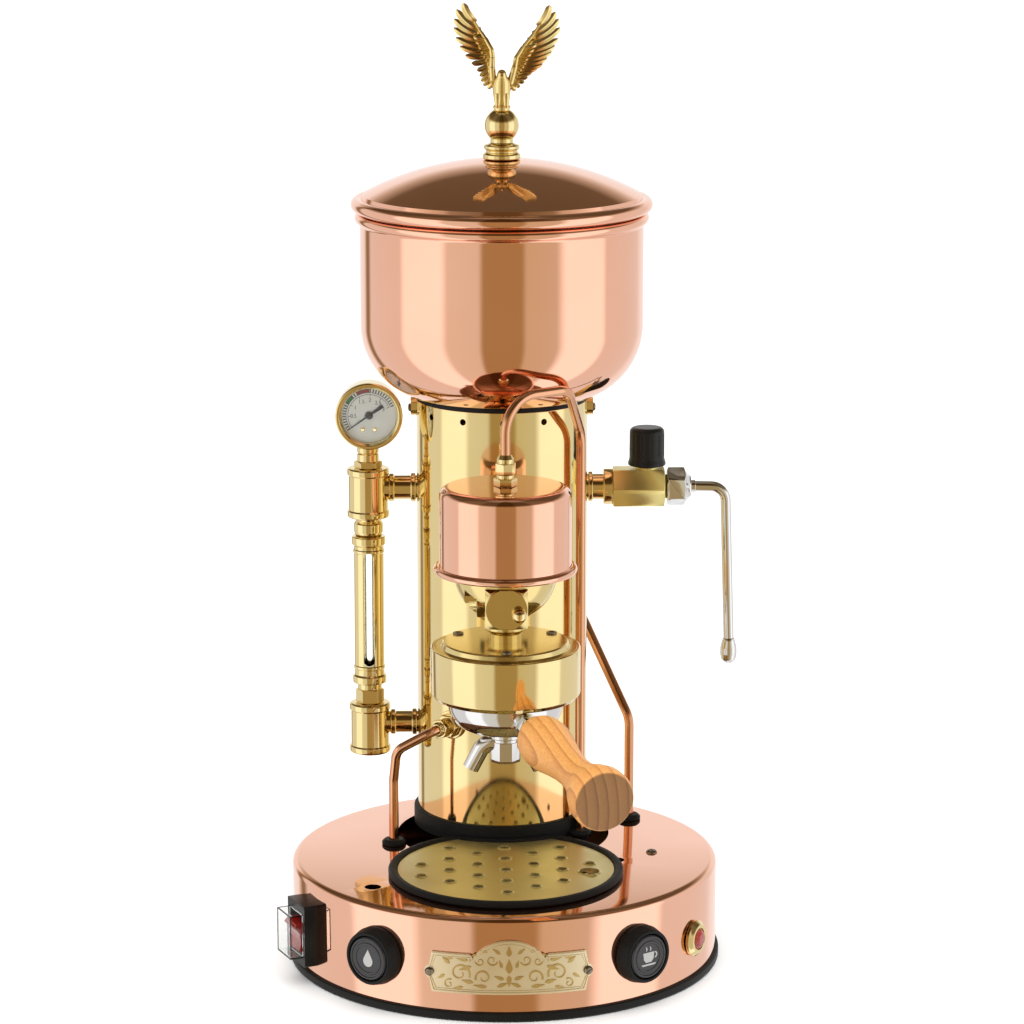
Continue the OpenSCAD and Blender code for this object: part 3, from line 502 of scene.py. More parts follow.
tees = []
for z, low, high, r, branch in [(277.5, 259, 290.3, 13.2, 7.6), (127, 108, 140, 12.9, 6.8)]:
    stem = turned("stem", [(0, low), (r, low, 1.4), (r, low + 4, .5), (r - .9, low + 4.8, .4),
                           (r - .9, high - 4.8, .4), (r, high - 4, .5), (r, high, 1.4), (0, high)],
                  (-83, column_y, 0), around=128)
    arm = turned("arm", [(0, 0), (branch, 0), (branch, 12.6), (branch + 1.2, 13.4, .4),
                         (branch + 1.2, 15.6, .4), (branch, 16.4), (branch, 26.4, .3),
                         (branch + 1.5, 26.5, .6), (branch + 1.5, 29.3, .6), (branch, 29.4), (branch, 39),
                         (0, 39)], (-83, column_y, z), (1, 0, 0), around=96)
    tees.append(shaped(stem, arm, "UNION", 30))
dressed(joined("tees", tees), brass, "base", "gauge_tees", slot="brass")

sleeve = turned("sleeve", [(7.4, 153), (10.6, 153, .8), (10.6, 157.5, .8), (9.4, 158.5, .3), (9.4, 162, .3),
                           (9.9, 162.6, .3), (9.9, 164, .3), (9.4, 164.6, .3), (9.4, 236.4, .3),
                           (9.9, 237, .3), (9.9, 238.4, .3), (9.4, 239, .3), (9.4, 241, .3),
                           (10.6, 242, .8), (10.6, 247, .8), (7.4, 247)], (-83, column_y, 0), around=128)
pill = arc(0, 234, 3.4, 0, 180, 16) + arc(0, 168, 3.4, 180, 360, 16)
shaped(sleeve, block("slot", pill, -20, 20, (-83, column_y, 0), (0, -1, 0)), smooth=40)
dressed(sleeve, brass, "base", "sight_guard", slot="brass")

glands = [turned("gland", [(4.4, 247), (8.2, 247, .4), (9.2, 250, .5), (9.2, 255, .5), (8, 257, .4),
                           (9.2, 259, .4), (4.4, 259)], (-83, column_y, 0), around=96),
          nut("gland", 15.4, 140, 149, (-83, column_y, 0), bore=4.4),
          turned("gland", [(4.4, 149), (7.6, 149, .3), (7.6, 153, .3), (4.4, 153)],
                 (-83, column_y, 0), around=96),
          nut("gland", 15.4, 290.3, 294.7, (-83, column_y, 0)),
          turned("gland", [(0, 294.7), (6.8, 294.7), (6.8, 299, .4), (6.2, 299.6, .2),
                           (6.8, 300.3, .4), (6.8, 305.7), (0, 305.7)], (-83, column_y, 0), around=96)]
dressed(joined("glands", glands), brass, "base", "gauge_nuts", slot="brass")

clear, tree, skin = surface("clear",
                            {"Base Color": (.97, .99, .99, 1), "Transmission Weight": 1, "IOR": 1.45})
ranged(tree, cloud(tree, 40), .01, .05, skin["Roughness"])
carried(clear, "sight_glass")


# The dial: a drawn brass case with a rolled bezel, a white enamelled face with a printed scale
# from 0 to 3 bar, a black pointer on its pin, and a flat glass.
def on_dial(u, v, out):
    return (-82 + u, 55 - out, 325 + v)


case = turned("dial_case", [(0, -22), (20, -22, 2.5), (20, -5.6, .4), (20.8, -5, .5), (20.8, 0, 2.2),
                            (18.4, 0, .8), (17.2, -1.8, .3), (17.2, -19), (0, -19)], (-82, 55, 325),
              (0, -1, 0), around=160, steps=8)
dressed(case, brass, "base", "gauge_case", slot="brass")

enamel, tree, skin = surface("enamel", {"Roughness": .3, "Coat Weight": .3})
coloured(tree, cloud(tree, 300, 4), [(0, (.93, .94, .89)), (1, (.97, .97, .94))], skin["Base Color"])


def paint(name, tint, rough=.4, wear=.15):
    """Printed or moulded colour, a little uneven where it is thin."""
    made, tree, skin = surface(name, {})
    patch = cloud(tree, 120, 5)
    thin, full = [[min(1, c * (1 + k)) for c in tint] for k in (-wear, wear)]
    coloured(tree, patch, [(0, thin), (1, full)], skin["Base Color"])
    ranged(tree, patch, rough * .8, rough * 1.25, skin["Roughness"])
    return made


def flat(name, outlines, layer):
    """Printing on the dial: thin closed chips of ink, lying on the face."""
    chips = [block("chip", line, 0, .06, (-82, 55, 325), (0, -1, 0)) for line in outlines]
    whole = joined(name, chips)
    for v in whole.data.vertices:
        v.co.y += (6 - layer) / 1000
    return whole


def sector(r1, r2, a1, a2, n=8):
    lay = [a1 + (a2 - a1) * k / n for k in range(n + 1)]
    return ([(r1 * math.cos(math.radians(a)), r1 * math.sin(math.radians(a))) for a in lay]
            + [(r2 * math.cos(math.radians(a)), r2 * math.sin(math.radians(a))) for a in reversed(lay)])


def bar_at(value):
    return 215 - 64.33 * value


face = turned("dial_face", [(0, -6.8), (17.1, -6.8), (17.1, -6, .1), (0, -6)], (-82, 55, 325),
              (0, -1, 0), around=128)
dressed(face, enamel, "base", "gauge_dial", slot="dial_white")
ink = paint("ink", (.015, .015, .015))
marks = [sector(12.9, 13.15, 22, 215, 60)]
marks += [sector(14.2, 16.4, bar_at(i / 10) - 1.2, bar_at(i / 10) + 1.2, 2) for i in range(0, 31)
          if not 10.2 < i < 12.8 and not 15.2 < i < 19.5]
marks += [sector(14.05, 14.3, 22, 215, 60)]
marks += [sector(11.6, 13, bar_at(i / 2) - .7, bar_at(i / 2) + .7, 2) for i in range(7)]
dressed(flat("dial_marks", marks, .02), ink, "base", slot="needle_black")
dressed(flat("dial_green", [sector(14.3, 16.5, bar_at(1.02), bar_at(1.28))], .03),
        paint("green_ink", (.02, .22, .04)), "base", slot="dial_white")
dressed(flat("dial_red", [sector(14.3, 16.5, bar_at(1.5), bar_at(1.97))], .03),
        paint("red_ink", (.33, .02, .015)), "base", slot="dial_white")
numbers = []
for half, word in enumerate(["0.5", "1", "1.5", "2", "2.5", "3"], 1):
    curve = bpy.data.curves.new("number", "FONT")
    curve.body = word
    curve.size = .0033
    curve.align_x = curve.align_y = "CENTER"
    curve.extrude = .00002
    text = bpy.data.objects.new("number", curve)
    bpy.context.scene.collection.objects.link(text)
    a = math.radians(bar_at(half / 2))
    text.location = Vector(on_dial(9.6 * math.cos(a), 9.6 * math.sin(a), -5.96)) / 1000
    text.rotation_euler = (math.pi / 2, 0, 0)
    bpy.context.view_layer.update()
    mesh = bpy.data.meshes.new_from_object(text.evaluated_get(bpy.context.evaluated_depsgraph_get()))
    mesh.transform(text.matrix_world)
    bpy.data.objects.remove(text)
    numbers.append(bpy.data.objects.new("number", mesh))
dressed(joined("dial_numbers", numbers), ink, "base", slot="needle_black")
pins = [turned("pin", [(0, -6), (1.35, -6), (1.35, -5.6, .2), (.9, -5.4), (0, -5.4)],
               on_dial(u, -8.8, 0), (0, -1, 0), around=32) for u in (-3.9, 3.5)]
dressed(joined("dial_pins", pins), brass, "base", slot="brass")

# The pointer is a thin black stamping with a broad tail, pressed on the movement's pin.
pointer = block("pointer", [(-10.4, -1.25), (-10.4, 1.25), (-2, .75), (2, .55), (15.4, .22),
                            (15.4, -.22), (2, -.55), (-2, -.75)], -5.4, -5, (-82, 55, 325),
                (0, -1, 0), roll=0)
pin = Matrix.Translation(Vector((-.082, 0, .325)))
spin = pin @ Matrix.Rotation(math.radians(-215), 4, "Y") @ pin.inverted()
pointer.data.transform(spin)
hub = turned("hub", [(0, -11), (.7, -11), (.7, -5.6), (2.5, -5.6, .2), (2.5, -4.6, .4), (.7, -4.4, .2),
                     (.6, -4.1, .2), (0, -4.1)], (-82, 55, 325), (0, -1, 0), around=48)
dressed(joined("pointer_and_hub", [pointer, hub]), paint("pointer_black", (.012, .012, .012), .3), "needle",
        "gauge_needle", slot="needle_black")
carried(clear, "gauge_glass")


# ---------------------------------------------------------------- steam tap
# A brass pipe leaves the column, with a turned collar, and screws into a hexagonal valve body.
# A black moulded knob turns the spindle, and a chromed union nut holds the wand's ball.
pipe = turned("pipe", [(5, 47.6), (8, 47.6), (8, 53.6), (9.5, 53.6, .6), (9.5, 56.2, .6), (8, 56.3),
                       (8, 62.8, .3), (11.2, 63, .6), (11.2, 68.5, .6), (5, 68.6)], (0, column_y, 277.5),
              (1, 0, 0), around=128)
dressed(pipe, brass, "base", "steam_pipe", slot="brass")
valve = nut("valve", 23, 68.7, 101, (0, column_y, 277.5), (1, 0, 0), roll=0, chamfer=1)
shaped(valve, turned("spigot", [(0, 98), (7.4, 98), (7.4, 107), (0, 107)], (0, column_y, 277.5),
                     (1, 0, 0)), "UNION", 30)
shaped(valve, turned("neck", [(0, 275), (6.9, 275), (6.9, 290.4, .6), (0, 290.4)], (90, column_y, 0)),
       "UNION", 30)
shaped(valve, turned("bore", [(0, 273.6), (3.05, 273.6), (3.05, 300), (0, 300)], (90, column_y, 0)),
       smooth=30)
shaped(valve, turned("bore", [(0, 96), (4.5, 96), (4.5, 120), (0, 120)], (0, column_y, 277.5), (1, 0, 0)),
       smooth=30)
dressed(valve, metal("bar_brass", (.98, .86, .38), shine=.3, stretch=(.04, 1, 1), brushed=.03), "base",
        "steam_valve_body", slot="brass")

moulded, tree, skin = surface("moulded_black",
                              {"Specular IOR Level": .28, "Coat Weight": .08, "Coat Roughness": .15})
rub = cloud(tree, 30, 6)
coloured(tree, rub, [(0, (.003, .003, .0032)), (1, (.010, .0095, .0095))], skin["Base Color"])
ranged(tree, rub, .25, .42, skin["Roughness"])
relief(tree, cloud(tree, 1200, 3), .08, .0001, skin["Normal"])

knob = turned("knob", [(3, 291.3), (11.6, 291.3, .4), (11.8, 292.6, .5), (10.9, 295.4, 1.5),
                       (10.8, 315, 3), (3, 315)],
              (90, column_y, 0), around=96, steps=8)
cap_fill = turned("cap_fill", [(0, 304.1), (3.4, 304.1), (3.4, 315), (0, 315)],
                  (90, column_y, 0), around=48)
shaped(knob, cap_fill, "UNION", 30)
for i in range(12):
    a = math.radians(i * 30 + 9)
    shaped(knob, turned("groove", [(0, 296.5), (.8, 298), (.8, 311), (0, 312.5)],
                        (90 + 11.35 * math.cos(a), column_y + 11.35 * math.sin(a), 0), around=16),
           smooth=30)
dressed(knob, moulded, "tap_knob", "steam_knob", slot="black_plastic")

chrome = metal("chrome", (.78, .79, .81), shine=.05, tarnish=.15, scratch=.01)
union = nut("union_nut", 21, 102.4, 114, (0, column_y, 277.5), (1, 0, 0), roll=30, chamfer=1.6)
shaped(union, turned("nose",
                     [(0, 110), (9.6, 110), (9.6, 114), (7, 116.6, .5), (6.6, 117.4, .4), (0, 117.4)],
                     (0, column_y, 277.5), (1, 0, 0)), "UNION", 25)
shaped(union, turned("bore", [(0, 101), (7.55, 101), (7.55, 107), (6.4, 107.5), (6.4, 112),
                              (3.9, 116), (3.9, 120), (0, 120)], (0, column_y, 277.5), (1, 0, 0)),
       smooth=25)
dressed(union, chrome, "base", "steam_nut", slot="chrome")


def route(points, bend, steps=12):
    """A pipe's centre line, its corners bent to the given radius or to one for each."""
    pts = [Vector(p) for p in points]
    line = [pts[0]]
    for i in range(1, len(pts) - 1):
        r = bend[i - 1] if isinstance(bend, (list, tuple)) else bend
        into, out = (pts[i] - pts[i - 1]).normalized(), (pts[i + 1] - pts[i]).normalized()
        angle = into.angle(out)
        side = (out - into * into.dot(out)).normalized()
        mid = pts[i] - into * r * math.tan(angle / 2) + side * r
        line += [mid + r * (math.sin(angle * k / steps) * into - math.cos(angle * k / steps) * side)
                 for k in range(steps + 1)]
    return line + [pts[-1]]


def piped(name, line, r, sides=32, smooth=35):
    """A round bar along a line; r is one radius or a list with one for each point."""
    radii = r if isinstance(r, list) else [r] * len(line)
    last = len(line) - 1
    dirs = [(line[min(i + 1, last)] - line[max(i - 1, 0)]).normalized() for i in range(last + 1)]
    up = Vector((1, 0, 0)) if abs(dirs[0].y) > .9 else Vector((0, 1, 0))
    verts, faces = [], []
    for p, d, size in zip(line, dirs, radii):
        up = (up - d * d.dot(up)).normalized()
        side = d.cross(up)
        verts += [p + size * (math.cos(2 * math.pi * k / sides) * up
                              + math.sin(2 * math.pi * k / sides) * side)
                  for k in range(sides)]
    for i in range(last):
        faces += [(i * sides + k, i * sides + (k + 1) % sides, (i + 1) * sides + (k + 1) % sides,
                   (i + 1) * sides + k)
                  for k in range(sides)]
    faces += [list(range(sides - 1, -1, -1)), list(range(last * sides, (last + 1) * sides))]
    return shown(name, verts, faces, smooth)


ball = turned("ball", [(0, 105)] + arc(0, 111, 6, -88, 50, 20) + [(3.8, 116), (3.8, 120.4, .4), (0, 120.5)],
              (0, column_y, 277.5), (1, 0, 0), around=64)
tube = piped("tube", route([(117, column_y, 277.5), (139, column_y, 277), (142.2, column_y, 180.2)], 9),
             3.3, 40)
dressed(joined("wand", [ball, tube]), chrome, "wand", "steam_wand", slot="chrome")
tip = turned("tip", [(0, 164.4), (2.4, 164.1, .6), (4.6, 166.4, 2), (5.3, 170, 3), (5.2, 174, 3),
                     (4.1, 178.6, 2), (3.6, 180, .3), (0, 180)], (142.2, column_y, 0), around=64)
for a in (0, 90, 180, 270):
    shaped(tip, turned("jet", [(0, 160), (.7, 160), (.7, 169), (0, 169)],
                       (142.2 + 2.2 * math.cos(math.radians(a)),
                        column_y + 2.2 * math.sin(math.radians(a)), 0), around=16))
dressed(tip, chrome, "wand", "steam_tip", slot="chrome")


# ---------------------------------------------------------------- brew group
# The group hangs on a square brass arm from the boiler: a cast cup under a spun copper cover,
# a neck, a screwed plate, and the turned band that the filter holder locks into.
cast = metal("cast_brass", (.84, .70, .33), shine=.12, cast=.04, tarnish=.5)
cup = turned("cup", [(0, 217), (9, 217, 1)] + arc(0, 249, 31, -70, 0, 24) + [(31, 251, .6), (0, 251)],
             (0, group_y, 0), around=160)
neck = turned("neck", [(0, 206), (9.6, 206), (9.6, 211.5, 1.5), (12.7, 213.2, .8),
                       (12.7, 217.6, .8), (9.5, 219.8), (0, 220)], (0, group_y, 0), around=96)
shaped(cup, neck, "UNION", 30)
shaped(cup, turned("riser", [(0, 250), (6, 250), (6, 291, .5), (0, 291)], (0, group_y, 0), around=64),
       "UNION", 30)
arm = block("arm", [(-12.6, -12), (12.6, -12), (12.6, 12), (-12.6, 12)], -60.4, 32,
            (0, group_y, 232), (0, -1, 0))
softened(arm, .6)
shaped(arm, turned("facing", [(0, -61), (21.5, -61), (21.5, 26.6, .3), (12.4, 31.4, .4),
                              (12.4, 31.95, .3), (0, 31.95)],
                   (0, group_y, 232), (0, -1, 0), around=128), "INTERSECT", 25)
shaped(cup, arm, "UNION", 28)
shaped(cup, turned("spot_face", [(0, 0), (9, 0), (9, 12), (0, 12)], (-12.6, -48, 232), (-1, 0, 0),
                   around=64), smooth=28)
dressed(cup, cast, "base", "group_body", slot="cast_brass")
screw = turned("screw", [(0, -8), (1.9, -8), (1.9, 0)] + arc(0, 3.6, 4.3, -62, 90, 20),
               (7.4, -66.3, 229.5), (0, -1, 0), around=64)
plug = nut("plug", 15, 0, 5, (-12.6, -48, 232), (-1, 0, 0), chamfer=.8)
dressed(joined("arm_screws", [screw, plug]), brass, "base", "group_plug", slot="brass")

cover = turned("cover", [(6.1, 298.8), (6.1, 300), (39.5, 300, 6), (39.5, 252.4, 1)]
               + arc(40.7, 250, 2.2, 112, -178, 20) + [(38.3, 252), (38.3, 298.8, 4.8)],
               (0, group_y, 0), around=224, steps=10)
dressed(cover, copper, "base", "group_cover", slot="copper")

plate = turned("plate", [(4, 196), (37.7, 196), (37.7, 200), (43, 200), (43, 202.4, .3), (38.6, 202.4, .4),
                         (37.6, 205.9, 1.4), (4, 206)], (0, group_y, 0), around=192)
dressed(plate, cast, "base", "group_top_plate", slot="cast_brass")
band = turned("band", [(35.2, 171.5, .4), (42.4, 171.5, 1), (45, 174.4, 1.5), (45, 202.5, 1.7),
                       (43.06, 202.5), (43.06, 200), (39.2, 200), (39.2, 176.4), (35.2, 175.2)],
              (0, group_y, 0), around=224)
for a in (0, 180):
    mid = a - 90 + 18.5 - 62
    cutter = sector(33, 39.2, mid - 17, mid + 17, 16)
    shaped(band, block("slot", cutter, 171, 176.5, (0, group_y, 0)), smooth=30)
dressed(band, brass, "base", "group_band", slot="brass")

# Three socket screws hold the group's plate; small round-headed ones hold the name plate, the
# straps, the drum's earth point and the bottom plate.
screws = []
for a in (30, 150, 270):
    x, y = 32.5 * math.cos(math.radians(a)), group_y + 32.5 * math.sin(math.radians(a))
    head = turned("head", [(0, 206), (3.2, 206), (3.2, 206.9, .4), (1.7, 207, .2),
                           (1.7, 206.2), (0, 206.2)],
                  (x, y, 0), around=32)
    screws += [head, turned("shank", [(0, 197), (1.55, 197), (1.55, 206), (0, 206)], (x, y, 0), around=24)]
round_head = [(0, 0), (2.6, 0), (2.6, .5, .2), (1.8, 1.35, .6), (0, 1.4)]
for turn in (-20.7, 20.7):
    spot, out = on_drum(turn, 29.2, 132)
    head = turned("head", round_head, spot, out, around=32)
    screws.append(shaped(head, block("slot", [(-3, -.3), (3, -.3), (3, .3), (-3, .3)], .9, 3, spot,
                                     out, roll=35)))
for side in (-1, 1):
    screws.append(turned("head", round_head, (side * 56.6, column_y, 328), (side, 0, 0), around=32))
head = turned("head", [(0, 63), (3.4, 63), (3.4, 63.6, .2), (2.4, 64.55, .6), (0, 64.6)],
              (90.4, -3, 0), around=32)
for roll in (20, 110):
    shaped(head, block("slot", [(-2.2, -.35), (2.2, -.35), (2.2, .35), (-2.2, .35)], 63.9, 66,
                       (90.4, -3, 0), roll=roll))
screws.append(head)
for a in (45, 135, 225, 315):
    x, y = 110 * math.cos(math.radians(a)), 110 * math.sin(math.radians(a))
    screws.append(turned("head", [(0, 1.3), (2.6, 1.3, .6), (4, 2.6, .3), (4, 3), (2.15, 3),
                                  (2.15, 7.5), (0, 7.5)],
                         (x, y, 0), around=32))
dressed(joined("screws", screws), metal("dark_steel", (.30, .27, .22), shine=.22, tarnish=.6), "base",
        "small_screws", slot="screw_steel")


# ---------------------------------------------------------------- filter holder
# A chromed brass bowl with two ears. It holds a pressed steel basket, a double spout screws on
# below, and a turned wooden handle sits on its neck.
body = turned("holder_bowl", [(5, 151), (11, 151, .5), (22.6, 151.6, 2)] + arc(18.5, 167, 16, -62, 0, 16)
              + [(34.5, 185, .3), (35.1, 186.9, .3), (29.2, 187), (29.2, 159.5), (22, 159.5),
                 (22, 155), (5, 155)],
              (0, group_y, 0), around=192)
ears = [block("ear", sector(33.5, 38.6, a - 90 + 6.5 + 12 - 12, a - 90 + 6.5 + 24, 10), 177, 183,
              (0, group_y, 0), soft=.6)
        for a in (0, 180)]
for ear in ears:
    shaped(body, ear, "UNION", 30)
lean, side = math.radians(5), math.radians(18.5)
out = Vector((math.cos(lean) * math.sin(side), -math.cos(lean) * math.cos(side), -math.sin(lean)))
start = Vector((36 * math.sin(side), group_y - 36 * math.cos(side), 163))


def along_handle(s):
    return tuple(start + out * (s - 36))


shaped(body, turned("neck", [(0, 30.5), (6.8, 30.5), (6.8, 37, 1), (6, 39, .5), (0, 39)],
                    along_handle(0), out, around=64), "UNION", 30)
shaped(body, nut("hex", 12.6, 38, 46, along_handle(0), out, chamfer=.8), "UNION", 20)
ferrule = turned("ferrule", [(0, 45), (5.4, 45), (5.4, 46.2, .2), (4.7, 46.6), (4.7, 47.6), (5.4, 48, .3),
                             (5.4, 51.9, .2), (0, 52)], along_handle(0), out, around=64)
shaped(body, ferrule, "UNION", 25)
dressed(body, chrome, "holder", "portafilter", slot="chrome")
carried(steel, "filter_basket")

wood, tree, skin = surface("turned_wood", {"Coat Weight": .12, "Coat Roughness": .3})
blank = tree.nodes.new("ShaderNodeAttribute")
blank.attribute_name = "grain"
along = blank.outputs["Vector"]
waver = cloud(tree, .03, 2, along=laid(tree, along, (1, 1, .15))).node
push = tree.nodes.new("ShaderNodeVectorMath")
push.operation = "MULTIPLY_ADD"
push.inputs[1].default_value = (5, 5, 0)
tree.links.new(waver.outputs["Color"], push.inputs[0])
tree.links.new(along, push.inputs[2])
rings = tree.nodes.new("ShaderNodeTexWave")
rings.wave_type = "RINGS"
rings.rings_direction = "Z"
rings.wave_profile = "SAW"
for socket, value in [("Scale", .05), ("Distortion", .4), ("Detail", 3), ("Detail Scale", .6)]:
    rings.inputs[socket].default_value = value
tree.links.new(laid(tree, push.outputs[0], shift=(62, 9, 0), lean=(.03, .05, 0)), rings.inputs["Vector"])
fibre = cloud(tree, 3.2, 5, .65, laid(tree, along, (1, 1, .035)))
streak = tree.nodes.new("ShaderNodeMix")
streak.data_type = "RGBA"
streak.blend_type = "MULTIPLY"
streak.inputs[0].default_value = .75
coloured(tree, rings.outputs["Fac"], [(.05, (.80, .38, .10)), (.7, (.74, .33, .08)), (1, (.52, .20, .045))],
         streak.inputs[6])
coloured(tree, fibre, [(.36, (.62, .55, .5)), (.62, (1, 1, 1))], streak.inputs[7])
depth = tree.nodes.new("ShaderNodeSeparateXYZ")
tree.links.new(along, depth.inputs[0])
soaked = tree.nodes.new("ShaderNodeVectorMath")
soaked.operation = "SCALE"
tree.links.new(streak.outputs[2], soaked.inputs[0])
ranged(tree, depth.outputs["Z"], 1, .36, soaked.inputs["Scale"], 165.2, 165.9)
tree.links.new(soaked.outputs[0], skin["Base Color"])
ranged(tree, fibre, .42, .62, skin["Roughness"])
relief(tree, fibre, .25, .0002, skin["Normal"])


def cut_from_wood(piece, at, facing):
    """Stores where each point lay in the blank, so that the grain runs along the piece."""
    blank = aimed(at, facing).inverted()
    grain = piece.data.attributes.new("grain", "FLOAT_VECTOR", "POINT")
    for i, v in enumerate(piece.data.vertices):
        grain.data[i].vector = blank @ (v.co * 1000)


handle = turned("handle", [(0, 52), (8.6, 52, .6), (10.4, 53.6, 1), (12.6, 56.2, 2), (15, 62.5, 6),
                           (15.6, 71, 8), (14.8, 80, 10), (12.6, 92, 14), (10.8, 104, 14), (10.1, 116, 14),
                           (10.6, 128, 12), (12.7, 138, 12), (16, 147, 8), (18.2, 155, 5), (18.4, 162, 3),
                           (17.4, 166, 1.5), (0, 166)],
                along_handle(0), out, around=128, steps=8, smooth=50)
cut_from_wood(handle, along_handle(0), out)
dressed(handle, wood, "holder", "wood_handle", slot="turned_wood")

spout = turned("spout", [(0, 131), (9.2, 131, 1.2), (9.6, 133, 1), (9.6, 144, .8), (0, 145)],
               (0, group_y, 0), around=8, roll=22.5, smooth=25)
shaped(spout, turned("collar", [(0, 143.5), (8.4, 143.5, .3), (8.4, 145.6, .4), (9.4, 146, .4),
                                (9.4, 150.9, .5), (0, 150.95)], (0, group_y, 0), around=96), "UNION", 25)
for side in (-1, 1):
    line = route([(side * 3, group_y, 143), (side * 13, group_y, 142), (side * 21, group_y, 126.6)], 9, 16)
    lip = piped("lip", line, [5.9 - .9 * i / (len(line) - 1) for i in range(len(line))], 40)
    shaped(spout, lip, "UNION", 30)
    mouth = Vector(line[-1])
    aim = (line[-1] - line[-2]).normalized()
    shaped(spout, turned("mouth", [(0, -7), (3.6, -7), (4.2, 3), (0, 3)], tuple(mouth), tuple(aim),
                         around=40), smooth=30)
dressed(spout, chrome, "holder", "coffee_spout", slot="chrome")


# ---------------------------------------------------------------- pipes
# Copper pipe, bent by hand, runs from brass unions on the group, the drain and the fill valve
# down through short collars into the top of the drum.
pipe_skin = metal("pipe_copper", (.80, .44, .27), shine=.13, tarnish=.45)


def union_on(facing, at, low):
    """The brass union at a pipe's end: a seat, a hexagon, a neck and the pipe's own nut."""
    seat = turned("union", [(0, low - .6), (5.3, low - .6), (5.3, low + .2), (3.1, low + .2),
                            (3.1, low + 18.9), (0, low + 19)],
                  at, facing, around=64)
    shaped(seat, nut("hex", 12.4, low, low + 5, at, facing, chamfer=.6), "UNION", 25)
    shaped(seat, turned("neck", [(0, low + 4), (5.3, low + 4), (5.3, low + 7, .4), (4.9, low + 7.3),
                                 (0, low + 7.3)],
                        at, facing, around=48), "UNION", 25)
    shaped(seat, nut("nut", 11.2, low + 7.2, low + 14, at, facing, roll=20, chamfer=.7), "UNION", 25)
    shaped(seat, turned("lip", [(0, low + 13), (5.1, low + 13), (5.1, low + 16.5, .5), (3.6, low + 19, .3),
                                (0, low + 19)], at, facing, around=48), "UNION", 25)
    return seat


fittings = [shaped(union_on((0, 0, 1), (0, group_y, 0), 300.1),
                   turned("bore", [(0, 290), (3, 290), (3, 330), (0, 330)], (0, group_y, 0), around=48),
                   smooth=25)]
fill_way = (math.cos(math.radians(-126)), math.sin(math.radians(-126)), 0)
seat = turned("boss", [(0, 49), (5, 49), (5, 53.4), (9, 53.4, .5), (9, 55.8, .5), (4, 55.9), (0, 55.9)],
              (0, column_y, 137), fill_way, around=64)
shaped(seat, nut("hex", 13, 55.8, 60.8, (0, column_y, 137), fill_way, chamfer=.7), "UNION", 25)
shaped(seat, turned("neck", [(0, 60), (5, 60), (5, 62.8), (0, 62.8)], (0, column_y, 137), fill_way,
                    around=48), "UNION", 25)
shaped(seat, nut("nut", 11, 62.6, 68.2, (0, column_y, 137), fill_way, roll=15, chamfer=.7), "UNION", 25)
shaped(seat, turned("lip", [(0, 68), (4.6, 68), (4.6, 69.2, .4), (3.5, 70.6, .3), (0, 70.6)],
                    (0, column_y, 137), fill_way, around=48), "UNION", 25)
shaped(seat, turned("bore", [(0, 40), (3, 40), (3, 80), (0, 80)], (0, column_y, 137), fill_way, around=48),
       smooth=25)
fittings.append(seat)
dressed(joined("fittings", fittings), brass, "base", "pipe_fittings", slot="brass")

group_pipe = piped("group_pipe",
                   route([(0, group_y, 300.4), (0, group_y, 353), (38, -6, 353), (47.6, 35.8, 318),
                                        (47.6, 35.8, 51.2)], [22, 16, 18], 20), 2.95, 40)
dressed(group_pipe, pipe_skin, "base", "group_pipe", slot="pipe_copper")
carried(pipe_skin, "fill_pipe", "drain_pipe")


# ---------------------------------------------------------------- drip tray
# A moulded rubber ring is pushed over a spun copper pan. A punched brass grille lies in the ring;
# every hole's edge is drawn up a little, and a larger one lets a finger in.
def swept_edge(name, profile, grow, n=240, smooth=30):
    """A closed section swept round the tray's outline; each point is (offset, z)."""
    verts, faces = [], []
    for off, z in profile:
        verts += [(x, y, z) for x, y in tray_edge(off + grow, n)]
    m = len(profile)
    count = len(verts) // m
    for i in range(m):
        for k in range(count):
            a, b = i * count + k, i * count + (k + 1) % count
            c, d = (i + 1) % m * count + (k + 1) % count, (i + 1) % m * count + k
            faces.append((a, b, c, d))
    return shown(name, [Vector(v) for v in verts], faces, smooth)


rubber_ring = swept_edge("tray_ring", [(-1, 62.95), (3.6, 62.95), (5.4, 63.4), (6, 64.4), (6, 66.2),
                                       (5.3, 67.3), (4, 67.6), (2.2, 67.3), (.7, 66.6), (.7, 64.4),
                                       (-1, 64.4)], 65)
dressed(rubber_ring, rubber, "tray_body", "tray_ring", slot="black_rubber")
carried(pipe_skin, "drip_tray")

edge_line = tray_edge(65.3, 220)
holes = []
for i in range(-4, 5):
    for j in range(-5, 6):
        x, y = 17 * i, 22 * j + (i % 2) * 11 - 4
        if math.hypot(x, y) < 56.4 and y < 48:
            holes.append((x, y - 42, 2.8))
holes.append((50, -51, 6))


def inside(x, y, loop):
    """Whether a point lies within a closed line."""
    odd = False
    for (x1, y1), (x2, y2) in zip(loop, loop[1:] + loop[:1]):
        if (y1 > y) != (y2 > y) and x < x1 + (y - y1) / (y2 - y1) * (x2 - x1):
            odd = not odd
    return odd


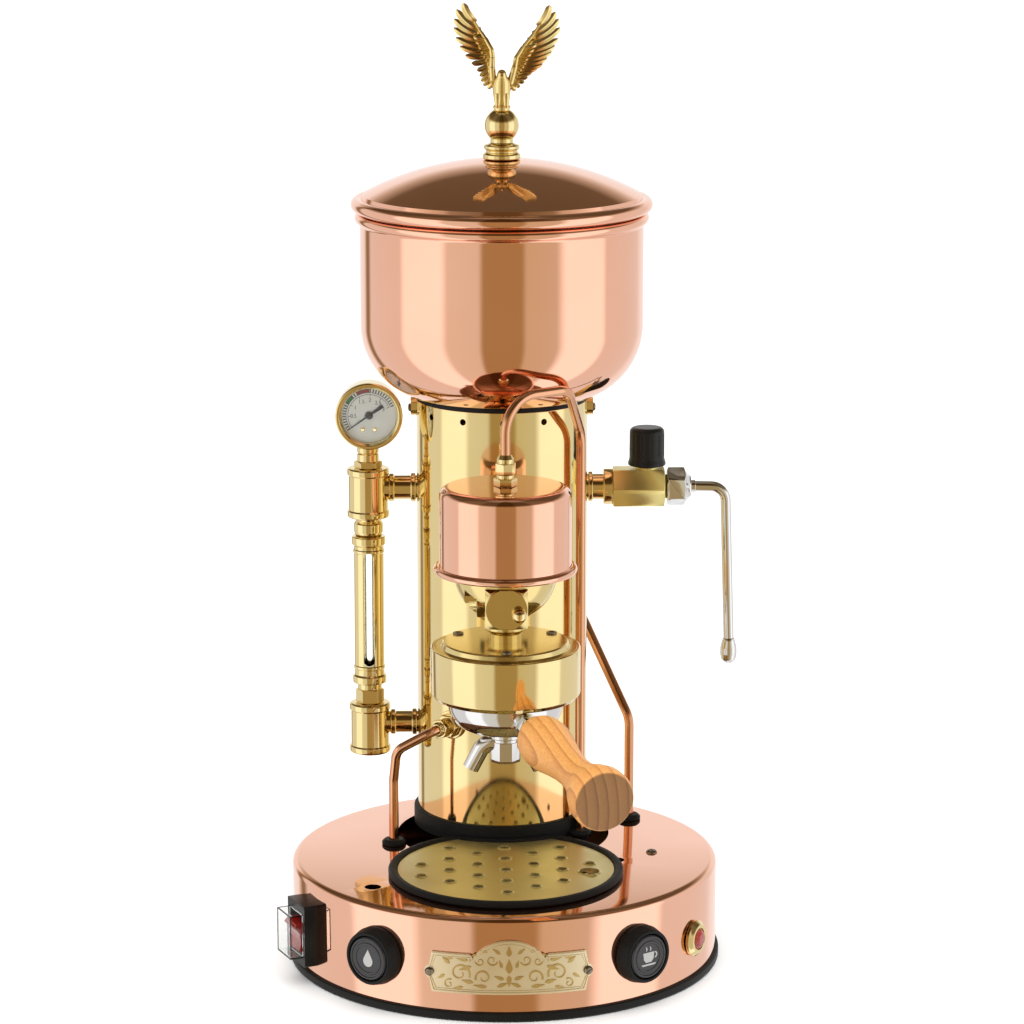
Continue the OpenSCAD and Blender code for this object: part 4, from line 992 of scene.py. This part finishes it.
def pierced(name, outline, openings, low, high):
    """A flat sheet with holes: triangles are laid between all the closed lines, and those
    outside the sheet or in a hole are dropped."""
    points, edges = [], []
    for line in [outline] + openings:
        first = len(points)
        points += [Vector(p) for p in line]
        edges += [(first + k, first + (k + 1) % len(line)) for k in range(len(line))]
    flat_points, _, triangles = delaunay_2d_cdt(points, edges, [], 0, 1e-5)[:3]
    kept = []
    for tri in triangles:
        x, y = (sum(flat_points[k][axis] for k in tri) / len(tri) for axis in (0, 1))
        if inside(x, y, outline) and not any(inside(x, y, line) for line in openings):
            kept.append(list(tri))
    n = len(flat_points)
    rim = {}
    for tri in kept:
        for pair in zip(tri, tri[1:] + tri[:1]):
            rim[tuple(sorted(pair))] = rim.get(tuple(sorted(pair)), 0) + 1
    faces = kept + [[k + n for k in tri] for tri in kept]
    faces += [[i, j, j + n, i + n] for (i, j), uses in rim.items() if uses == 1]
    verts = [Vector((x, y, z)) for z in (low, high) for x, y in flat_points]
    return shown(name, verts, faces, 30)


grille = pierced("grille", edge_line, [disc(r, 32, x, y) for x, y, r in holes], 64.42, 66)
lips = [turned("lip", [(r, 66), (r, 66.5), (r + .25, 66.75, .2), (r + .9, 66.5, .4), (r + 1.7, 65.98, .4)],
               (x, y, 0), around=28) for x, y, r in holes]
grille_skin = metal("grille_brass", (.97, .90, .46), shine=.3, brushed=.05, tarnish=.4, stretch=(.05, 1, 1))
dressed(joined("grille", [grille] + lips), grille_skin, "grille_body", "drip_grille", slot="brass")


# ---------------------------------------------------------------- name plate
# An etched brass plate, rolled to the drum's curve, is held by a screw in each end lobe.
# The maker's oval is left plain; a scroll of leaves stands in for the ornament.
def plate_line(grow=0, n=28):
    """The plate's edge in turn and height on the drum, from straight sides, end lobes and a crest."""
    w, low, high, lobe, crest = 46 + grow, 17 - grow, 41.5 + grow, 4.5 + grow, 26.2 + grow
    line = [(-w, low), (w, low)]
    line += [(46 + lobe * math.cos(math.radians(a)), 29.2 + lobe * math.sin(math.radians(a)))
             for a in range(-70, 71, 14)]
    line += [(w, high), (23 + grow, high)]
    a0 = math.degrees(math.acos(min(1, (23 + grow) / crest)))
    line += [(crest * math.cos(math.radians(a0 + (180 - 2 * a0) * k / n)),
              24 + crest * math.sin(math.radians(a0 + (180 - 2 * a0) * k / n))) for k in range(n + 1)]
    line += [(-23 - grow, high), (-w, high)]
    line += [(-46 + lobe * math.cos(math.radians(a)), 29.2 + lobe * math.sin(math.radians(a)))
             for a in range(110, 251, 14)]
    return line


def rolled(piece):
    """Bends a flat piece round the drum: across becomes turn, depth becomes radius."""
    for v in piece.data.vertices:
        x, y, z = v.co * 1000
        a = x / 131
        v.co = Vector((-y * math.sin(a), y * math.cos(a), z)) / 1000
    polished(piece, 40)
    return piece


def sheet(name, outline, low, high, cell=3):
    """A sheet standing behind the drum's front, cut in narrow strips so that it can be rolled."""
    piece = block(name, outline, low, high, (0, 0, 0), (0, -1, 0))
    bm = bmesh.new()
    bm.from_mesh(piece.data)
    xs = [v.co.x * 1000 for v in bm.verts]
    at = math.ceil(min(xs) / cell) * cell
    while at < max(xs):
        bmesh.ops.bisect_plane(bm, geom=bm.verts[:] + bm.edges[:] + bm.faces[:], plane_co=(at / 1000, 0, 0),
                               plane_no=(1, 0, 0), dist=1e-7)
        at += cell
    bm.to_mesh(piece.data)
    bm.free()
    return piece


def frame_sheet(name, outer, inner, low, high):
    verts = [(x, z) for x, z in outer] + [(x, z) for x, z in inner]
    n = len(outer)
    points = [(x, -low, z) for x, z in verts] + [(x, -high, z) for x, z in verts]
    faces = []
    for i in range(n):
        j = (i + 1) % n
        faces += [(i, j, n + j, n + i), (2 * n + i, 3 * n + i, 3 * n + j, 2 * n + j),
                  (i, 2 * n + i, 2 * n + j, j), (n + i, n + j, 3 * n + j, 3 * n + i)]
    piece = shown(name, [Vector(p) for p in points], faces)
    bm = bmesh.new()
    bm.from_mesh(piece.data)
    for k in range(-50, 51, 2):
        bmesh.ops.bisect_plane(bm, geom=bm.verts[:] + bm.edges[:] + bm.faces[:],
                               plane_co=((k + .5) / 1000, 0, 0), plane_no=(1, 0, 0), dist=1e-7)
    bm.to_mesh(piece.data)
    bm.free()
    return piece


plate_sheet = rolled(sheet("plate", plate_line(), 130.05, 131.4))
borders = [rolled(frame_sheet("border", plate_line(-.5), plate_line(-1.4), 131.3, 132)),
           rolled(frame_sheet("border", plate_line(-2.1), plate_line(-2.6), 131.3, 131.85))]


def leaf(x, z, long, wide, turn):
    """A pointed leaf with its widest part near the root."""
    a = math.radians(turn)
    side = [(.0, .0), (.12, .55), (.3, 1), (.5, .85), (.75, .45), (1, 0)]
    line = [(long * u, wide * w / 2) for u, w in side]
    line += [(long * u, -wide * w / 2) for u, w in reversed(side[1:-1])]
    return [(x + u * math.cos(a) - w * math.sin(a), z + u * math.sin(a) + w * math.cos(a)) for u, w in line]


def curl(x, z, r, start, sweep, thick, n=22):
    """A tendril that winds inwards and thins out."""
    outer, inner = [], []
    for k in range(n + 1):
        f = k / n
        a = math.radians(start + sweep * f)
        rr = r * (1 - .72 * f)
        w = thick * (1 - .6 * f) / 2
        outer.append((x + (rr + w) * math.cos(a), z + (rr + w) * math.sin(a)))
        inner.append((x + (rr - w) * math.cos(a), z + (rr - w) * math.sin(a)))
    return outer + inner[::-1]


curls = [curl(29, 29.5, 6.2, 200, -400, 1.1), curl(15, 27.5, 4.8, -20, 380, 1.0),
         curl(35.5, 22.6, 3, 120, -380, .8), curl(10, 38.2, 3.4, 200, 380, .8),
         curl(17, 37.2, 2.6, -10, -380, .7)]
leaves = [leaf(*shape) for shape in [
    (21, 24, 7, 2.4, 12), (22, 34, 8, 2.6, -18), (24, 37.6, 7, 2.2, 8), (35, 35, 6, 2.2, 40),
    (38, 28, 5, 2, -30), (7, 22, 7, 2.2, 160), (13, 21.6, 8, 2.2, 8), (27, 21, 6, 2, -8),
    (4, 33.5, 5, 2, 70), (5, 42, 5.5, 1.9, 35), (12.5, 43.2, 4.5, 1.6, 10), (19, 41.8, 3.4, 1.4, -25),
    (3, 26.4, 6, 2.2, 20), (33, 38.4, 5, 1.8, 0)]]
scrolls = [[(side * x, z) for x, z in line] for side in (-1, 1) for line in curls + leaves]
scrolls += [leaf(0, 30, 9, 4.2, 90), leaf(0, 40.5, 6.5, 3.2, 90), leaf(0, 29, 7, 3, -90)]
raised = [rolled(block("scroll", line, 131.3, 131.85, (0, 0, 0), (0, -1, 0))) for line in scrolls]
plate_brass = metal("plate_brass", (.98, .90, .68), shine=.34, brushed=.05, tarnish=.5, stretch=(1, 1, .08))
dressed(joined("name_plate", [plate_sheet] + borders), plate_brass, "base", "name_plate", slot="brass")
dressed(joined("plate_scrolls", raised), metal("relief_brass", (.74, .58, .26), shine=.26, tarnish=.6),
        "base", "name_plate", slot="brass")


# ---------------------------------------------------------------- controls
# The switch has a black housing clipped through the drum, a red rocker and a clear splash cover.
# The two push buttons and the pilot lamp sit in collars with a nut behind the sheet.
def oblong(w, h, r=0, n=6):
    """A rectangle w by h with rounded corners."""
    if not r:
        return [(-w / 2, -h / 2), (w / 2, -h / 2), (w / 2, h / 2), (-w / 2, h / 2)]
    line = []
    for x, y, start in ((w / 2 - r, h / 2 - r, 0), (r - w / 2, h / 2 - r, 90), (r - w / 2, r - h / 2, 180),
                        (w / 2 - r, r - h / 2, 270)):
        line += [(x + r * math.cos(math.radians(start + 90 * k / n)),
                  y + r * math.sin(math.radians(start + 90 * k / n)))
                 for k in range(n + 1)]
    return line


spot, out = on_drum(-66.5, 31, 0)
housing = block("housing", oblong(27, 38, 1.6), 127.5, 137.9, spot, out)
shaped(housing, block("body", oblong(22, 28), 110, 128, spot, out), "UNION", 30)
shaped(housing, block("pocket", oblong(16.4, 22.4, .4), 112, 140, spot, out), smooth=30)
shaped(housing, block("seat", oblong(21.4, 27.4, .8), 137.1, 140, spot, out), smooth=30)
dressed(housing, moulded, "base", "switch_housing", slot="black_plastic")

red = paint("red_moulding", (.42, .012, .008), rough=.22, wear=.06)
fulcrum, _ = on_drum(-66.5, 31, 126)
rocker = block("rocker", [(-8.9, -3), (8.9, -3), (9, 13.4), (7.6, 14.9), (3, 12.6), (-3, 12.6),
                          (-7.6, 14.9), (-9, 13.4)],
               -7.8, 7.8, (0, 0, 0), (1, 0, 0))
for ridge in range(-3, 4):
    shaped(rocker, block("groove", [(ridge * .9 - .2 + 5.4, 13.2), (ridge * .9 + .2 + 5.4, 13.2),
                                    (ridge * .9 + .2 + 5.4, 16), (ridge * .9 - .2 + 5.4, 16)], -6.5, 6.5,
                         (0, 0, 0), (1, 0, 0)), smooth=30)

def set_in(piece, place):
    """Moves a piece drawn about the origin to its place; place is in millimetres."""
    for v in piece.data.vertices:
        v.co = (place @ (v.co * 1000)) / 1000
    return piece


set_in(rocker, aimed(fulcrum, out) @ Matrix.Rotation(math.radians(9), 4, "X"))
dressed(rocker, red, "rocker", "power_rocker", slot="red_plastic")
carried(clear, "rocker_cover")

buttons = []
for turn in (-36.5, 36.5):
    seat, outward = on_drum(turn, 33, 112)
    collar = turned("collar", [(9, 2), (12.1, 2), (12.1, 17.2), (17.3, 17.2, 1), (17.5, 20, 1.5),
                               (15.9, 27, 1.4), (14.2, 27.2, .8), (13.7, 26.6, .4), (13.6, 19.4),
                               (9, 19.4)], seat, outward, around=128)
    buttons.append(collar)
dressed(joined("collars", buttons), rubber, "base", "button_bezels", slot="black_plastic")


def cap(name, body, node, turn, icon):
    """A push cap with pressed rings, its printed sign inlaid flush."""
    seat, outward = on_drum(turn, 33, 112)
    dome = turned(name, [(0, 3), (8.6, 3, .4), (8.8, 21.6), (13.15, 21.7, .3), (13.2, 26.3, 1),
                         (12.4, 27.5, .5), (11.5, 27.55, .3), (11.1, 26.9, .3), (9.9, 26.9, .3),
                         (9.5, 27.45, .3), (8.4, 27.4, .3), (8.1, 26.9, .3), (0, 26.6)], seat,
                  outward, around=128)
    dressed(dome, button_black, body, node, slot="button_grey")
    chips = [block("sign", line, 26.2, 26.95, seat, outward) for line in icon]
    dressed(joined(name + "_sign", chips), sign_grey, body, node, slot="button_grey")


button_black = paint("button_moulding", (.022, .021, .022), rough=.16, wear=.2)
sign_grey = paint("sign_grey", (.42, .41, .40), rough=.35)
drop_line = [(3.4 * math.sin(math.radians(a)), -1.5 - 3.4 * math.cos(math.radians(a)))
             for a in range(-120, 121, 12)]
cap("water_cap", "water", "water_button", -36.5, [drop_line + [(0, 5.6)]])
cup_shape = [(-4.2, 2.6), (-3.6, -1.6), (-2, -3.4), (2, -3.4), (3.6, -1.6), (4.2, 2.6)]
saucer = [(-5.6, -4.4), (5.6, -4.4), (4.6, -5.4), (-4.6, -5.4)]
ear_line = sector(1.3, 2.1, -80, 80, 8)
ear_line = [(4.4 + x, .6 + y) for x, y in ear_line]
steam_line = [[(x - .35, 3.6), (x + .35, 3.6), (x + .8, 4.8), (x + .1, 6.1), (x - .5, 6.1), (x + .1, 4.8)]
              for x in (-1.8, 1.2)]
cap("brew_cap", "brew", "brew_button", 36.5, [cup_shape, saucer, ear_line] + steam_line)

seat, outward = on_drum(59.5, 29, 116)
bezel = turned("bezel", [(5.2, 2), (6.1, 2), (6.1, 14.25), (10.8, 14.25, .5), (11, 16.1, .4),
                         (10.2, 16.8, .5), (8.6, 18.55, .5), (6.7, 18.5, .4), (6.6, 17), (5.2, 17)], seat,
               outward, around=96)
dressed(bezel, brass, "base", "pilot_bezel", slot="brass")
lens = turned("lens", [(0, 6), (5.05, 6), (5.05, 17.1), (6.35, 17.1, .3), (6.3, 18.2, .3),
                       (3.8, 20.2, .5), (0, 20.35)],
              seat, outward, around=12, smooth=12)
ruby, tree, skin = surface("ruby_lens", {"Roughness": .06, "Transmission Weight": .55, "Coat Weight": .6})
facets = tree.nodes.new("ShaderNodeTexVoronoi")
facets.inputs["Scale"].default_value = 700
coloured(tree, facets.outputs["Distance"], [(0, (.50, .02, .01)), (1, (.80, .07, .03))], skin["Base Color"])
relief(tree, facets.outputs["Distance"], .4, .0003, skin["Normal"])
dressed(lens, ruby, "base", "pilot_lens", slot="red_lens")

seat, outward = on_drum(180, 24, 118)
gland = turned("gland", [(3.6, 2), (7.1, 2), (7.1, 12.3), (9.9, 12.3, .4), (10, 14.1, .5), (8, 14.3, .4),
                         (6.1, 20.8, .7), (3.6, 20.9, .3)], seat, outward, around=96)
for k in range(12):
    a = math.radians(30 * k)
    v = aimed(seat, outward) @ Vector((10.4 * math.cos(a), 10.4 * math.sin(a), 0))
    shaped(gland, turned("notch", [(0, 11), (.9, 11), (.9, 16), (0, 16)], tuple(v), outward, around=12),
           smooth=30)
dressed(gland, moulded, "base", "cord_gland", slot="black_plastic")
carried(moulded, "pipe_grommets")
carried(metal("zinc_steel", (.55, .55, .56), shine=.25, tarnish=.4), "pump", "solenoid_valve")


# ---------------------------------------------------------------- finial bird
# A cast brass bird with raised wings stands on the lid's ball. The feathers are chased one by
# one, long ones behind and a row of short ones over their roots, with a thick leading edge.
def lofted(name, rings, smooth=40):
    n = len(rings[0])
    faces = [(i * n + k, i * n + (k + 1) % n, (i + 1) * n + (k + 1) % n, (i + 1) * n + k)
             for i in range(len(rings) - 1) for k in range(n)]
    faces += [list(range(n - 1, -1, -1)), list(range((len(rings) - 1) * n, len(rings) * n))]
    return shown(name, [Vector(p) for ring in rings for p in ring], faces, smooth)


def feather(root, tip, wide, y, side):
    """A long blade with a raised quill, bowed away from the body, with a rounded tip."""
    long = math.hypot(tip[0] - root[0], tip[1] - root[1])
    way = ((tip[0] - root[0]) / long, (tip[1] - root[1]) / long)
    bow = (root[0] + .5 * (tip[0] - root[0]) + side * way[1] * .2 * long,
           root[1] + .5 * (tip[1] - root[1]) - side * way[0] * .2 * long)
    rings = []
    for k in range(15):
        f = k / 14
        p = [(1 - f) ** 2 * root[i] + 2 * f * (1 - f) * bow[i] + f * f * tip[i] for i in (0, 1)]
        d = [2 * (1 - f) * (bow[i] - root[i]) + 2 * f * (tip[i] - bow[i]) for i in (0, 1)]
        n = (-d[1] / math.hypot(*d), d[0] / math.hypot(*d))
        w = wide / 2 * min(1, .6 + 1.2 * f) * math.sqrt(max(.02, 1 - max(0, (f - .75) / .25) ** 2))
        thick = .6 * (1 - .5 * f) + .1
        ring = [(w, .25), (w * .6, -thick * .5), (w * .25, -thick), (0, -thick * 1.7), (-w * .25, -thick),
                (-w * .6, -thick * .5), (-w, .25), (-w * .5, thick), (w * .5, thick)]
        rings.append([(p[0] + u * n[0], y + v - .8 * math.sin(math.pi * f), p[1] + u * n[1])
                      for u, v in ring])
    return lofted("feather", rings, 50)


def between(line, f):
    """The point a fraction f along a list of points."""
    at = min(f * (len(line) - 1), len(line) - 1.0001)
    i = int(at)
    return tuple(line[i][k] + (at - i) * (line[i + 1][k] - line[i][k]) for k in (0, 1))


def ellipse(z, rx, ry, dy, n=40):
    return [(2.6 + rx * math.cos(2 * math.pi * k / n), column_y + dy + ry * math.sin(2 * math.pi * k / n),
             z) for k in range(n)]


breast = lofted("breast", [ellipse(*r) for r in [
    (513, 5.6, 5.6, 0), (513.9, 5.5, 5.5, 0), (514.6, 4.4, 4.4, 0), (516, 4.2, 4.2, 0),
    (518.5, 4.9, 4.8, 0), (521, 5.3, 5.4, .2), (523.5, 5.6, 6, .2), (526.5, 5.7, 6.4, -.2),
    (529, 5.3, 6.1, -.8), (531, 4.2, 5, -1.6), (532.4, 3.2, 3.9, -2.4), (533.8, 2.9, 3.4, -2.9),
    (535, 2.6, 3.1, -3), (536, 1.9, 2.2, -2.9), (536.5, .8, 1, -2.8)]])
parts = [breast, turned("beak", [(0, 0), (1.3, 0, .3), (.9, 2, .6), (.3, 3.6), (0, 3.7)],
                        (2.6, 65.2, 533.2), (0, -1, -.35), around=32)]
for foot in (-2.6, 2.6):
    parts.append(turned("thigh", [(0, -1)] + [(1.9, 0), (2.3, 3, 1), (1.7, 7, 1), (.9, 9, .5), (0, 9)],
                        (2.6 + foot, 67.3, 522), (0, -.1, -1), around=32))
wings = [(-1, [(-20.5, 576.4), (-24.7, 572.6), (-26.2, 566.9), (-26.5, 561.6), (-25.2, 555.6),
               (-22.8, 550.3), (-19.5, 544.9), (-15.7, 540), (-12.5, 535.7), (-10.9, 532.4),
               (-10.1, 529.2), (-8.7, 526.5), (-6, 524.4)],
          [(-18.2, 575), (-14.6, 568), (-10.3, 560.5), (-6.5, 555.1), (-2.9, 548.6), (-2.3, 543.7),
           (-2.6, 538), (-2, 530)]),
         (1, [(31.6, 575), (35.2, 571), (37.3, 566.8), (38, 561.5), (36.8, 555), (35, 550.6),
              (33, 546.9), (30.2, 543), (27.6, 539.4), (24.4, 536.8), (21.1, 534.2), (18.6, 531.2),
              (16.6, 528.4), (14, 525.6), (11.3, 523.4)],
          [(30, 573.4), (26.2, 565.8), (21.1, 557.7), (14.6, 549.6), (10.8, 543.7), (9.8, 538.3),
           (8.6, 534), (7, 528)])]
for side, tips, lead in wings:
    last = len(tips) - 1
    for i, tip in enumerate(tips):
        root = between(lead, .2 + .78 * (i / last) ** .85)
        parts.append(feather(root, tip, 4.7 - 1.9 * i / last, 70.4 + .16 * i, side))
    for i in range(11):
        root = between(lead, .42 + .055 * i)
        tip = between(tips, .3 + .065 * i)
        near = (root[0] + .42 * (tip[0] - root[0]), root[1] + .42 * (tip[1] - root[1]))
        parts.append(feather(root, near, 2.6, 69.2 + .1 * i, side))
    stem = [Vector((x + side * .7, 70.2 - 1.6 * math.sin(math.pi * min(1, k / 7)), z))
            for k, (x, z) in enumerate(lead[1:])]
    smoothed = route([tuple(p) for p in stem], [2] * (len(stem) - 2), 4)
    thick = [.6 + 1.5 * (i / (len(smoothed) - 1)) ** .7 for i in range(len(smoothed))]
    parts.append(piped("edge", smoothed, thick, 20))
bird_brass = metal("bird_brass", (.92, .78, .38), shine=.14, cast=.03, tarnish=.55)
bird = joined("bird", parts)
bird.data.transform(Matrix.Translation((-.0026, 0, 0)))
dressed(bird, bird_brass, "lid_body", "finial_bird", slot="brass")
